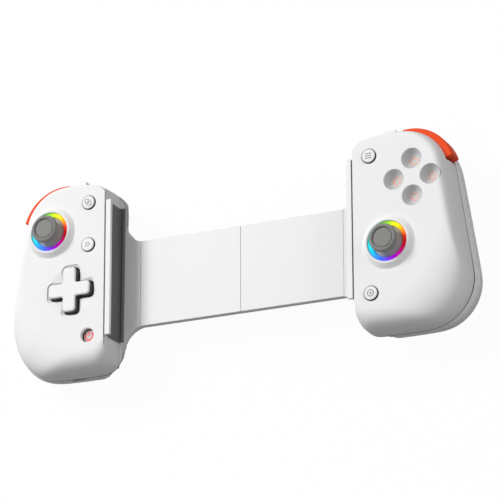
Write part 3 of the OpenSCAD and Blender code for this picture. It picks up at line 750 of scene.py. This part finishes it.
def front_cover(side, name, gap):
    """Front cover with its wall at the cradle, its shoulder gap and the holes of its controls."""
    obj = raw_object(f"{name}_front_shell", stack_mesh(front_rings()))
    low, top = SEAM_Z + 0.5, FACE_Z
    wall = np.array([[-60, SEAM_Z - 5], [0.4, SEAM_Z - 5], [0.4, low], [0, low], [0, top - 1.3],
                     [0.3, top - 1.3], [0.3, top - 0.35], [0.05, top - 0.35], [0.2, top], [0.2, top + 9],
                     [-60, top + 9]]) + [WALL_X, 0]
    shoulder = np.vstack([arc(*SHOULDER, 40, 10.6, 104.5, 24), arc(*SHOULDER, 15, 104.5, 10.6, 24)])
    key_x = WALL_X + TOP_KEY
    tools = [stack_mesh([upright(wall, y) for y in (80, -80)]), front_hollow(),
             flat_mesh(shoulder, SEAM_Z - 1, SEAM_Z + 10.3),
             box_mesh((key_x - gap, TOP_Y - 10, SEAM_Z + 4.8),
                      (key_x + TOP_KEY_W + gap, TOP_Y + 4, SEAM_Z + 10.2)),
             turned_mesh([[0, 28], [STICK_BORE, 28], [STICK_BORE, 45], [0, 45]], spot(STICKS[name]))]
    for key in KEYS[name]:
        lip = 0.95 if key != "home" else 0.7
        tools.append(flared_hole(spot((KEY_OUT, KEY_Y[key])), KEY_R + gap, lip))
    if name == "left":
        c = spot(INNER)
        a = np.linspace(0, 1, 14)
        dish = np.vstack([[[0, top - 0.9]], np.c_[13.2 * a, top - 0.9 * (1 - a ** 2.6)],
                          [[15, top + 0.02], [15, 45], [0, 45]]])
        tools.append(turned_mesh(dish, c))
        edge = [(0, 30), (0, 35.2), (-0.25, 35.8), (-0.6, 36.2), (-1.6, 36.7), (-1.6, 46)]
        tools.append(slab_mesh(cross_outline(0.6) + c, edge))
    else:
        for k in range(4):
            tools.append(flared_hole(spot(FACE_MID + FACE_OFF * compass(k)), BOWL_R + 0.08, 0.35, depth=4))
    carve(obj, tools)
    ring = raw_object(f"{name}_stick_collar", collar_mesh(STICKS[name]))

    def shadow_lines(p, n):
        """Picks the seam groove and the step under the lip, which take the grey of painted shade."""
        step = (p[:, 2] > FACE_Z - 1.25) & (p[:, 2] < FACE_Z - 0.4) & (n[:, 0] * side < -0.9)
        return (p[:, 2] < SEAM_Z + 0.42) | (step & (np.abs(p[:, 0]) < WALL_X + 0.5))

    turn_side(obj, side)
    turn_side(ring, side)
    finish_piece(ring, f"{name}_grip", "white_abs", ["white"], angle=50)
    # The seam groove and the step under the lip get the seam grey as painted shade
    finish_piece(obj, f"{name}_grip", "white_abs", ["white", "gap"], [f"{name}_front_cover"], 28,
                 shadow_lines)


class CONTROLLER_OT_front_covers(bpy.types.Operator):
    """Build the two front covers with their holes and stick collars"""

    bl_idname = "controller.front_covers"
    bl_label = "Front covers"

    def execute(self, context):
        for name, side in SIDES.items():
            front_cover(side, name, context.scene.controller_sizes.gap / MM)
        return {"FINISHED"}


def neck_outline(grow, z):
    """Plan of the neck: straight at the bridge, hollow curves to the flange, then round the low corner."""
    x1 = WALL_X + NECK
    a = np.radians(np.linspace(0, -90, 20))[:, None]
    turn = np.hstack([np.cos(a), np.sin(a)])
    top = [x1 - 8.8, BRIDGE_Y1 + 8.8] + (8.8 + grow) * turn
    low = [x1 - 9.7, BRIDGE_Y0 - 12.3] + (12.3 + grow) * turn[::-1] * [1, -1]
    drop = (SEAM_Z - z) * SLOPE
    top[:, 0] += drop * ease((top[:, 1] - BRIDGE_Y1 - 4) / 4.8)
    low[:, 0] += drop * ease((BRIDGE_Y0 - low[:, 1] - 7) / 5.3)
    for line in (top, low):
        line[:, 0] = np.maximum(line[:, 0], PANEL_X + 0.05)
    t = np.linspace(182, 240, 16)
    r = np.maximum(CORNER_R - grow - drop * corner_share(t), 1)
    end = CORNER_XY + r[:, None] * np.c_[np.cos(np.radians(t)), np.sin(np.radians(t))]
    return np.vstack([[[x1 + 9, end[-1, 1]], [x1 + 9, top[0, 1]]], top, low, end])


def neck_mesh():
    """Neck stacked from its rear to the seam; the hollow curves widen to the rear as a bevel."""
    steps = [(BEVEL, BRIDGE_Z0), (BEVEL - 0.25, BRIDGE_Z0 + 0.1), (0.2, BRIDGE_Z0 + BEVEL - 0.2),
             (0.0, BRIDGE_Z0 + BEVEL + 0.2), (0.0, SEAM_Z - 0.35), (0.1, SEAM_Z - 0.12), (0.32, SEAM_Z)]
    return stack_mesh([at(neck_outline(grow, z), z) for grow, z in steps])


def port_mesh():
    """Tool for the charging slot: a rounded slot in X and Z carried in from the low end."""
    slot = np.vstack([arc(WALL_X + 26.1, 0, 1.72, -90, 90, 14), arc(WALL_X + 20.3, 0, 1.72, 90, 270, 14)])
    v, f = flat_mesh(slot, LOW_Y - 2, LOW_Y + 8)
    return np.stack([v[:, 0], v[:, 2], -v[:, 1] + SEAM_Z - 2], -1), f


def rear_cover(side, name):
    """Rear cover with its neck, trigger opening, screw posts and wells, and the trigger's bearings."""
    obj = raw_object(f"{name}_rear_shell", stack_mesh(rear_rings()))
    carve(obj, [neck_mesh()], "UNION")
    x, y = SHOULDER
    carve(obj, [rear_hollow(), box_mesh((x - 4.2, TRIGGER_CUT, -1), (x + 36, 80, SEAM_Z - 1.2))])
    post = [[0, 1], [3.2, 1], [3.2, 20.8], [1.2, 20.8], [1.2, 4.5], [0, 4.5]]
    carve(obj, [turned_mesh(post, spot(p), 36) for p in SCREWS], "UNION")
    well = [[0, -1], [2.9, -1], [2.9, 0], [2.45, 0.35], [2.3, 0.8], [2.3, 4], [1.2, 4], [1.2, 6], [0, 6]]
    carve(obj, [port_mesh()] if name == "left" else [])
    carve(obj, [turned_mesh(well, spot(p), 40) for p in SCREWS])
    turn_side(obj, side)

    def groove(p, n):
        """Picks the seam groove outside the flange, which takes the grey of painted shade."""
        low = (p[:, 2] > SEAM_Z - 0.58) & (p[:, 2] < SEAM_Z - 0.1)
        return low & (np.abs(p[:, 0]) > WALL_X + FLANGE + 0.2)

    finish_piece(obj, f"{name}_grip", "white_abs", ["rear", "gap"], [f"{name}_rear_cover"], 28, groove)
    lugs = join(box_mesh((x - 6.6, y + 3, SEAM_Z - 11), (x - 4.4, y + 19, SEAM_Z - 1)),
                box_mesh((x + 11.2, y - 2, 3.5), (x + 13.4, y + 10.6, 15.6)))
    piece(f"{name}_trigger_bearings", flip(lugs, side), f"{name}_grip", "white_abs", ["white"])


class CONTROLLER_OT_rear_covers(bpy.types.Operator):
    """Build the two rear covers with their necks, screw wells and trigger openings"""

    bl_idname = "controller.rear_covers"
    bl_label = "Rear covers"

    def execute(self, context):
        for name, side in SIDES.items():
            rear_cover(side, name)
        return {"FINISHED"}


def bar_along_x(section, x0, x1, soft):
    """Closed section in Y and Z carried along X, drawn in a little at both ends."""
    inner = section - normals(section) * soft
    rings = [(x0, inner), (x0 + soft, section), (x1 - soft, section), (x1, inner)]
    return stack_mesh([np.c_[np.full(len(o), x), o] for x, o in rings])


class CONTROLLER_OT_bridge(bpy.types.Operator):
    """Build the panels of the bridge"""

    bl_idname = "controller.bridge"
    bl_label = "Bridge"

    def execute(self, context):
        y0, y1, z0, z1 = BRIDGE_Y0, BRIDGE_Y1, BRIDGE_Z0, BRIDGE_Z1
        plate = rounded(rect(y0, z1 + 0.05, y1, SEAM_Z), [0.1, 0.1, 0.4, 0.4], 6)
        channel = rounded([[y0 + BEVEL, z0], [y1 - BEVEL, z0], [y1, z0 + BEVEL], [y1, z1], [y0, z1],
                           [y0, z0 + BEVEL]], [1.2, 1.2, 0.8, 0.1, 0.1, 0.8], 6)
        for name, side in SIDES.items():
            piece(f"{name}_bridge_panel", flip(bar_along_x(plate, 0.14, PANEL_X - 0.16, 0.1), side),
                  f"{name}_grip", "white_abs", ["plate"], [f"{name}_bridge_front"])
            back = raw_object(f"{name}_bridge_channel", bar_along_x(channel, 0.12, PANEL_X - 0.05, 0.08))
            carve(back, [box_mesh((-2, y0 + 3.9, z0 + 1.2), (52, y1 - 3.9, z1 + 3))])
            turn_side(back, side)
            finish_piece(back, f"{name}_grip", "white_abs", ["plate"], [f"{name}_bridge_back"])
        return {"FINISHED"}


def lip_mesh(lo, hi, z0, z1):
    """Section of a cradle lip, a strip with a step and rounded edges, carried along Y."""
    x = WALL_X
    section = np.vstack([[[x + 0.3, z0], [x + 0.3, z1 - 1.3], [x - 0.6, z1 - 1.3]],
                         arc(x - 0.75, z1 - 0.15, 0.15, 0, 90, 4), arc(x - 3.1, z1 - 0.3, 0.3, 90, 180, 5),
                         arc(x - 3.1, z0 + 0.3, 0.3, 180, 270, 5)])
    return stack_mesh([upright(section, y) for y in (hi[1], lo[1])])


def pad_mesh(lo, hi):
    """Section of the pad, wall, foot and bead, carried along Y; the foot narrows towards the lower end."""
    x1, z0, z1 = hi[0], lo[2], hi[2]
    wall, foot = x1 - 0.9, z0 + 0.9
    y0, y1 = lo[1], hi[1]
    rings = []
    for y, end in ((y0, 1), (y0 + 0.12, 0.3), (y0 + 0.4, 0), (y1 - 0.4, 0), (y1 - 0.12, 0.3), (y1, 1)):
        share = (y - y0) / (y1 - y0)
        edge = x1 - (3.0 + 0.4 * share)
        bead = arc(x1 - 2.1 - 0.4 * share, z0 + 0.72, 0.6 - 0.12 * end, 163, 17, 12)
        section = np.vstack([
            [[edge, z0], [edge + 0.05 * end, foot - 0.2], [edge + 0.2, foot - 0.05 * end]], bead,
            [[wall - 0.25, foot - 0.05 * end], [wall - 0.05, foot + 0.2], [wall + 0.08 * end, foot + 0.6],
             [wall + 0.08 * end, z1 - 0.3], [wall + 0.2, z1 - 0.02], [x1, z1 - 0.02], [x1, z0]]])
        rings.append(upright(section, y))
    return stack_mesh(rings)


class CONTROLLER_OT_cradle(bpy.types.Operator):
    """Build the lips and rubber pads that hold the phone"""

    bl_idname = "controller.cradle"
    bl_label = "Phone cradle"

    def execute(self, context):
        z0, z1 = FACE_Z - 2.1, FACE_Z - 0.1

        def step(p, n):
            """Picks the step beside the cover, without the ends of the lip, which takes the grey of painted
            shade.
            """
            return (np.abs(p[:, 0]) > WALL_X - 0.65) & (p[:, 2] > z1 - 1.4) & (np.abs(n[:, 1]) < 0.5)

        for name, side in SIDES.items():
            lo, hi = (np.array(b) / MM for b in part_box("right_cradle_lip"))
            piece(f"{name}_lip", flip(lip_mesh(lo, hi, z0, z1), side), f"{name}_grip", "white_abs",
                  ["plate", "gap"], [f"{name}_cradle_lip"], 35, step)
            lo, hi = (np.array(b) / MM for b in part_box("right_cradle_pad"))
            piece(f"{name}_pad", flip(pad_mesh(lo, hi), side), f"{name}_grip", "dark_silicone",
                  ["pad"], [f"{name}_cradle_pad"], 40)
        return {"FINISHED"}


# Sticks


def cap_profile():
    """Half section of a stick: dish, rounded rim, waisted stem and dome, from the top down."""
    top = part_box("right_stick_cap")[1].z / MM
    pivot = FACE_Z - 9
    dish = [[0, top - 0.72], [3.2, top - 0.7], [4.5, top - 0.66], [4.75, top - 0.72], [4.9, top - 1.0],
            [5.1, top - 1.05], [5.28, top - 0.95], [5.36, top - 0.5]]
    rim = arc(6.05, top - 0.72, 0.72, 135, 60, 7)
    side = arc(CAP_R - 1.15, top - 1.35, 1.15, 50, 0, 7)
    under = arc(CAP_R - 0.75, top - 2.05, 0.75, 0, -80, 7)
    stem = [[4.6, top - 2.86], [3.75, top - 3.1], [3.4, top - 3.7],
            [3.4, pivot + 12.3], [3.6, pivot + 12.05]]
    dome = arc(0, pivot, DOME_R, 72, 26, 18)
    inner = arc(0, pivot, DOME_R - 1.2, 26, 72, 18)
    return np.vstack([dish, rim, side, under, stem, dome, inner, [[1.6, pivot + 11.0], [0, pivot + 11.0]]])


class CONTROLLER_OT_sticks(bpy.types.Operator):
    """Build the stick caps and the light rings round them"""

    bl_idname = "controller.sticks"
    bl_label = "Sticks"

    def execute(self, context):
        for name, side in SIDES.items():
            centre = spot(STICKS[name]) * [side, 1]
            piece(f"{name}_thumbstick", turned_mesh(cap_profile(), centre), f"{name}_stick", "grey_rubber",
                  ["cap", "dome"], [f"{name}_stick_cap"], 40, lambda p, n: p[:, 2] < FACE_Z + 3.9)
            lo, hi = (b.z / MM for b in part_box(f"{name}_light_ring"))
            r1, r0 = 10.35, 8.15
            prof = np.vstack([[[r0, lo], [r1, lo]], arc(r1 - 0.25, hi - 0.25, 0.25, 0, 90, 5),
                              arc(r0 + 0.35, hi - 0.35, 0.35, 90, 180, 5), [[r0, lo]]])
            piece(f"{name}_light_guide", turned_mesh(prof, centre, 128), f"{name}_grip", "light_guide",
                  [f"{name}_glow"], [f"{name}_light_ring"], 60)
        return {"FINISHED"}


# Keys and buttons


def bar(cx, cy, w, h, z0, z1):
    """Flat bar with rounded corners."""
    return flat_mesh(rounded(rect(cx - w / 2, cy - h / 2, cx + w / 2, cy + h / 2), 0.15, 4), z0, z1)


def ribbon(path, width, z0, z1, closed=False):
    """Flat strip of constant width carried along a path in plan."""
    p = np.asarray(path, float)
    d = np.roll(p, -1, 0) - np.roll(p, 1, 0) if closed else np.gradient(p, axis=0)
    n = np.stack([d[:, 1], -d[:, 0]], -1)
    n /= np.linalg.norm(n, axis=1)[:, None]
    a, b = p + n * width / 2, p - n * width / 2
    rows = [at(a, z0), at(b, z0), at(b, z1), at(a, z1)]
    if closed:
        return np.vstack(rows + rows[:1]), grid_faces(5, len(p)).tolist()
    return stack_mesh(np.stack(rows, 1))


def key_marks(key, c, z0, z1):
    """Plain marks of the small keys: bars, sheets, chevrons, a power sign or a ring with a dot."""
    x, y = c
    if key == "menu":
        return join(*[bar(x, y + d, 3.4, 0.55, z0, z1) for d in (-1.2, 0, 1.2)])
    if key == "share":
        o = rounded(rect(-1.1, -1.1, 1.1, 1.1), 0.4, 5)
        return join(ribbon(o + [x - 0.6, y + 0.6], 0.45, z0, z1, True),
                    ribbon(o + [x + 0.6, y - 0.6], 0.45, z0, z1 + 0.005, True))
    if key == "turbo":
        tip = np.array([[-0.9, 1.2], [0.2, 0], [-0.9, -1.2]])
        return join(*[ribbon(tip + [x + d, y], 0.55, z0, z1) for d in (-0.4, 1.0)])
    if key == "home":
        return join(ribbon(arc(x, y, 2.1, 125, 415, 33), 1.0, z0, z1), bar(x, y + 1.5, 1.0, 2.4, z0, z1))
    return join(ribbon(circle(x, y, 1.6, 36), 0.55, z0, z1, True), flat_mesh(circle(x, y, 0.6, 24), z0, z1))


class CONTROLLER_OT_small_keys(bpy.types.Operator):
    """Build the small round keys with their marks"""

    bl_idname = "controller.small_keys"
    bl_label = "Small keys"

    def execute(self, context):
        up = context.scene.controller_sizes.print_up / MM
        for key, y in KEY_Y.items():
            side = -1 if key in KEYS["left"] else 1
            c = spot((KEY_OUT, y)) * [side, 1]
            lo, hi = (b.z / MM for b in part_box(f"{key}_button"))
            # The home key is flat and lies deeper in its well than the others
            home = key == "home"
            r, flange, crown = KEY_R, FACE_Z - 3.4, 0.08
            if home:
                hi, flange, crown = hi - 1.1, flange - 0.9, 0.0
            prof = np.vstack([[[0, hi - 0.08 + crown], [1.7, hi - 0.08 + crown * 0.75]],
                              arc(r - 0.45, hi - 0.53, 0.45, 90, 0, 7),
                              [[r, hi - 1.2], [r, flange + 1.1], [r + 0.9, flange + 1.1], [r + 0.9, flange],
                               [1.4, flange], [1.4, lo], [0, lo]]])
            # Below the top round the key takes the dark finish: dark plastic that also paints the shade of
            # the gap round it
            piece(f"{key}_key", turned_mesh(prof, c, 72), key, "white_abs",
                  ["home" if home else "key", "dark"], [f"{key}_button"], 40,
                  lambda p, n, z=hi - 0.62: p[:, 2] < z)
            z = hi - (0.08 if home else 0.0)
            piece(f"{key}_mark", key_marks(key, c, z - 0.2, z + up), key, "white_abs",
                  ["red" if home else "mark"])
        return {"FINISHED"}


def bowl_height(top, r):
    """Height of a bowl at a radius: a power curve from its floor to its rim."""
    return top - BOWL_DEEP * (1 - (r / (BOWL_R - 0.06)) ** BOWL_POWER)


class CONTROLLER_OT_face_buttons(bpy.types.Operator):
    """Build the four bowl-shaped face buttons and their chevrons"""

    bl_idname = "controller.face_buttons"
    bl_label = "Face buttons"

    def execute(self, context):
        for k, key in enumerate(("east", "north", "west", "south")):
            c = spot(FACE_MID + FACE_OFF * compass(k))
            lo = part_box(f"{key}_button")[0].z / MM
            top = FACE_Z - (0.2 if key != "east" else 0.5)
            r, low = BOWL_R, FACE_Z - 5
            run = np.linspace(0, r - 0.06, 24)
            prof = np.vstack([np.c_[run, bowl_height(top, run)],
                              [[r, top - 0.04], [r, low + 1.1], [r + 0.8, low + 1.1], [r + 0.8, low],
                               [1.8, low], [1.8, lo], [0, lo]]])
            # The bowls take the bowl finish, whose grey paints a deeper shade into them
            piece(f"{key}_bowl", turned_mesh(prof, c), key, "white_abs", ["bowl"], [f"{key}_button"], 40)
            turn = np.array([compass(k), compass(k + 1)])
            bend = np.interp(np.linspace(0, 1, 15), [0, 0.5, 1], [-0.6, 1.8, -0.6])
            tip = np.c_[bend, np.linspace(2.5, -2.5, 15)] @ turn + c
            foot = np.c_[np.full(15, -1.8), np.linspace(1.6, -1.6, 15)] @ turn + c
            v, f = join(ribbon(tip, 0.85, 0, 1), ribbon(foot, 0.85, 0, 1))
            rest = bowl_height(top, np.linalg.norm(v[:, :2] - c, axis=1))
            v[:, 2] = rest + np.where(v[:, 2] > 0.5, 0.07, -0.25)
            piece(f"{key}_chevron", (v, f), key, "white_abs", ["warm"])
        return {"FINISHED"}


class CONTROLLER_OT_direction_pad(bpy.types.Operator):
    """Build the direction pad with its white top and dark skirt"""

    bl_idname = "controller.direction_pad"
    bl_label = "Direction pad"

    def execute(self, context):
        x, y = c = spot(INNER) * [-1, 1]
        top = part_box("dpad_cross")[1].z / MM
        steps = np.vstack([[(0, FACE_Z - 3.8)], soft_edge(FACE_Z - 3.5, top, 0.85, 0, 8), [(1.3, top)]])
        legs = [box_mesh((x - 1.8, y + s - 0.8, FACE_Z - 9.6), (x + 1.8, y + s + 0.8, FACE_Z - 3.7))
                for s in (-4.6, 4.6)]
        # The skirt below the top edge takes the dark finish: dark plastic that also paints the shade of the
        # gap round the pad
        piece("direction_cross", join(slab_mesh(cross_outline(0) + c, steps), *legs), "dpad", "white_abs",
              ["key", "dark"], ["dpad_cross"], 30, lambda p, n: p[:, 2] < top - 0.86)
        return {"FINISHED"}


# Shoulders


def crescent(c1, r1, r0, a0, a1):
    """Outline between an outer circle and one about the shoulder, with eased corners at its ends."""
    a = np.radians(np.linspace(a0, a1, 64))
    d = np.stack([np.cos(a), np.sin(a)], -1)
    off = SHOULDER - c1
    b = d @ off
    reach = -b + np.sqrt(b ** 2 - off @ off + r1 ** 2)
    outer = SHOULDER + d * reach[:, None]
    inner = SHOULDER + d[::-1] * r0
    mids = [outer[-1] * (1 - t) + inner[0] * t for t in (0.25, 0.75)]
    ends = [inner[-1] * (1 - t) + outer[0] * t for t in (0.25, 0.75)]
    return np.vstack([outer[1:-1], mids, inner[1:-1], ends])


def bumper_mesh():
    """Crescent between two circles about the shoulder, with soft edges and a round hub at its upper end."""
    z0, z1 = SEAM_Z + 0.5, SEAM_Z + 10
    c = arc(*SHOULDER, -1.4, 52, 52, 1)[0]
    hub = arc(*SHOULDER, 19, 98, 98, 1)[0]
    return join(slab_mesh(crescent(c, SHOULDER_R + 1.8, SHOULDER_R - 4.3, 14, 100.6),
                          soft_edge(z0, z1, 0.8, 0.5, 7)),
                flat_mesh(circle(*hub, 1.9, 32), z0 + 0.3, z1 - 0.3))


def top_key_mesh():
    """Small block with soft edges on a wider tail that stays behind the cover."""
    x0, x1 = WALL_X + TOP_KEY, WALL_X + TOP_KEY + TOP_KEY_W
    head = rounded(rect(x0, TOP_Y - 5, x1, TOP_Y + 1.5), [0.7, 0.7, 1.0, 1.0], 6)
    tail = rounded(rect(x0 - 0.8, TOP_Y - 6, x1 + 0.8, TOP_Y - 4.8), 0.3, 4)
    return join(slab_mesh(head, soft_edge(SEAM_Z + 5.05, SEAM_Z + 9.95, 0.6, 0.6)),
                slab_mesh(tail, soft_edge(SEAM_Z + 4.2, SEAM_Z + 10.8, 0.2, 0.2)))


def trigger(name, side):
    """Lever that carries on the bowl of the rear cover, a little proud of it, cut out with eased edges."""
    core = outline(REAR_CIRCLES)
    wide = outline(SEAM_CIRCLES, inset=-1.0)
    rings = [bowl_level(wide, core, t, -1, FLANGE) for t in np.sin(np.linspace(np.pi / 2, 0, 26))]
    obj = raw_object(f"{name}_shoulder_trigger", stack_mesh(rings))
    wide = outline(SEAM_CIRCLES, inset=3.0)
    hollow = [bowl_level(wide, core, t, 3, 3) for t in np.sin(np.linspace(np.pi / 2, 0.1, 14))]
    hollow.append(level(wide, core, 1, SEAM_Z + 1, 3))
    x0 = SHOULDER[0] - 3.8
    window = rounded(rect(x0, TRIGGER_LOW, x0 + 40, TRIGGER_LOW + 40), 0.6, 5)
    carve(obj, [slab_mesh(window, soft_edge(1.5, SEAM_Z - 1.6, 0.5, 0.5))], "INTERSECT")
    carve(obj, [stack_mesh(hollow)])
    y, z = SHOULDER[1] + 8, SEAM_Z - 7
    web = slab_mesh(rounded(rect(x0, y, x0 + 12, y + 12), 0.4, 4), soft_edge(z - 1.6, z + 2, 0.3, 0.3))
    hub = [np.c_[np.full(32, x0 + along), circle(y, z, r, 32)]
           for along, r in ((0, 2.2), (0.2, 2.4), (14.2, 2.4), (14.4, 2.2))]
    carve(obj, [web, stack_mesh(hub)], "UNION")
    turn_side(obj, side)
    finish_piece(obj, f"{name}_trigger", "orange_abs", ["orange"], [f"{name}_trigger"], 35)


class CONTROLLER_OT_shoulders(bpy.types.Operator):
    """Build the bumpers, triggers and top keys"""

    bl_idname = "controller.shoulders"
    bl_label = "Shoulder levers"

    def execute(self, context):
        for name, side in SIDES.items():
            piece(f"{name}_shoulder_bumper", flip(bumper_mesh(), side), f"{name}_bumper", "orange_abs",
                  ["orange"], [f"{name}_bumper"], 35)
            trigger(name, side)
            piece(f"{name}_top_button", flip(top_key_mesh(), side), f"{name}_top_key", "white_abs",
                  ["key"], [f"{name}_top_key"])
        return {"FINISHED"}


# Stage

LOOK_AT = (0, 0, 0.02)
# Name, place, size and power of the lamps
LAMPS = (("key softbox", (-1.15, 0.9, 1.75), 0.8, 43.0), ("side fill", (1.0, 0.15, 0.4), 0.6, 2.0))
FLOOR_SIZE = 6.0
CAMERA_PLACE = Vector((0.62443, -0.49727, 1.34442))
CAMERA_TARGET = Vector((0.0100, 0.00015, 0.030))
CAMERA_UP = Vector((0.13918, 0.94684, 0.29003))
CAMERA_LENS = 219.29


def by_ray(tree, other, seen):
    """Mixes two shaders: one for light that falls on the part, one for what is seen or mirrored."""
    ray = add(tree, "LightPath").outputs
    direct = combine(tree, "MAXIMUM", ray["Is Camera Ray"], ray["Is Glossy Ray"])
    shown = combine(tree, "MAXIMUM", direct, ray["Is Transmission Ray"])
    return add(tree, "MixShader", links={"Fac": shown, 1: other.outputs[0], 2: seen.outputs[0]})


class CONTROLLER_OT_stage(bpy.types.Operator):
    """Set the floor, the lamps, the world and the camera"""

    bl_idname = "controller.stage"
    bl_label = "Stage"

    def execute(self, context):
        scene = context.scene
        scene.view_settings.view_transform = "Standard"
        # Sheet of white studio board, lit evenly, that throws little light back on the part
        mat, tree, _ = fresh("studio floor")
        pale = add(tree, "BsdfDiffuse", {"Color": (0.9, 0.9, 0.9, 1)})
        white = add(tree, "Emission", {"Color": (1, 1, 1, 1), "Strength": 1.0})
        bright = add(tree, "MixShader", {"Fac": 0.96}, {1: pale.outputs[0], 2: white.outputs[0]})
        dull = add(tree, "BsdfDiffuse", {"Color": (0.14, 0.14, 0.14, 1)})
        close_tree(tree, by_ray(tree, dull, bright))
        half = FLOOR_SIZE / MM
        floor = raw_object("studio_floor", (at(rect(-half, -half, half, half), 0), [[0, 1, 2, 3]]))
        floor.data.materials.append(mat)

        world = bpy.data.worlds.new("studio")
        world.use_nodes = True
        tree = world.node_tree
        tree.nodes.clear()
        dim = add(tree, "Background", {"Color": (1, 1, 1, 1), "Strength": 0.37})
        lit = add(tree, "Background", {"Color": (1, 1, 1, 1), "Strength": 1.0})
        add(tree, "OutputWorld", links={"Surface": by_ray(tree, dim, lit).outputs[0]})
        scene.world = world

        for name, place, size, power in LAMPS:
            data = bpy.data.lights.new(name, "AREA")
            data.size = size
            data.energy = power
            obj = bpy.data.objects.new(name, data)
            obj.location = place
            obj.rotation_euler = (Vector(LOOK_AT) - Vector(place)).to_track_quat("-Z", "Y").to_euler()
            scene.collection.objects.link(obj)

        data = bpy.data.cameras.new("photo view")
        data.sensor_width = 36
        data.lens = CAMERA_LENS
        data.clip_end = 20
        cam = bpy.data.objects.new("photo view", data)
        back = (CAMERA_PLACE - CAMERA_TARGET).normalized()
        right = CAMERA_UP.cross(back).normalized()
        turn = Matrix((right, back.cross(right), back)).transposed()
        cam.matrix_world = Matrix.Translation(CAMERA_PLACE) @ turn.to_4x4()
        scene.collection.objects.link(cam)
        scene.camera = cam
        return {"FINISHED"}


class CONTROLLER_PT_panel(bpy.types.Panel):
    """Sidebar panel with the steps in order"""

    bl_idname = "CONTROLLER_PT_panel"
    bl_label = "Phone controller"
    bl_space_type = "VIEW_3D"
    bl_region_type = "UI"
    bl_category = "Controller"

    def draw(self, context):
        for group in (context.scene.controller_sizes, context.scene.controller_colours):
            for key in group.__annotations__:
                self.layout.prop(group, key)
        for step in STEPS:
            self.layout.operator(step.bl_idname)


STEPS = (
    CONTROLLER_OT_finishes,
    CONTROLLER_OT_front_covers,
    CONTROLLER_OT_rear_covers,
    CONTROLLER_OT_bridge,
    CONTROLLER_OT_cradle,
    CONTROLLER_OT_sticks,
    CONTROLLER_OT_direction_pad,
    CONTROLLER_OT_small_keys,
    CONTROLLER_OT_face_buttons,
    CONTROLLER_OT_shoulders,
    CONTROLLER_OT_stage,
)
CLASSES = (ControllerSizes, ControllerColours) + STEPS + (CONTROLLER_PT_panel,)


def register():
    """Registers the classes and hangs the settings on the scene."""
    for cls in CLASSES:
        bpy.utils.register_class(cls)
    bpy.types.Scene.controller_sizes = bpy.props.PointerProperty(type=ControllerSizes)
    bpy.types.Scene.controller_colours = bpy.props.PointerProperty(type=ControllerColours)


def unregister():
    """Takes the settings and the classes away again."""
    del bpy.types.Scene.controller_sizes
    del bpy.types.Scene.controller_colours
    for cls in reversed(CLASSES):
        bpy.utils.unregister_class(cls)


def main():
    """Runs every step in order."""
    register()
    for step in STEPS:
        group, action = step.bl_idname.split(".")
        getattr(getattr(bpy.ops, group), action)()


if __name__ == "__main__":
    main()
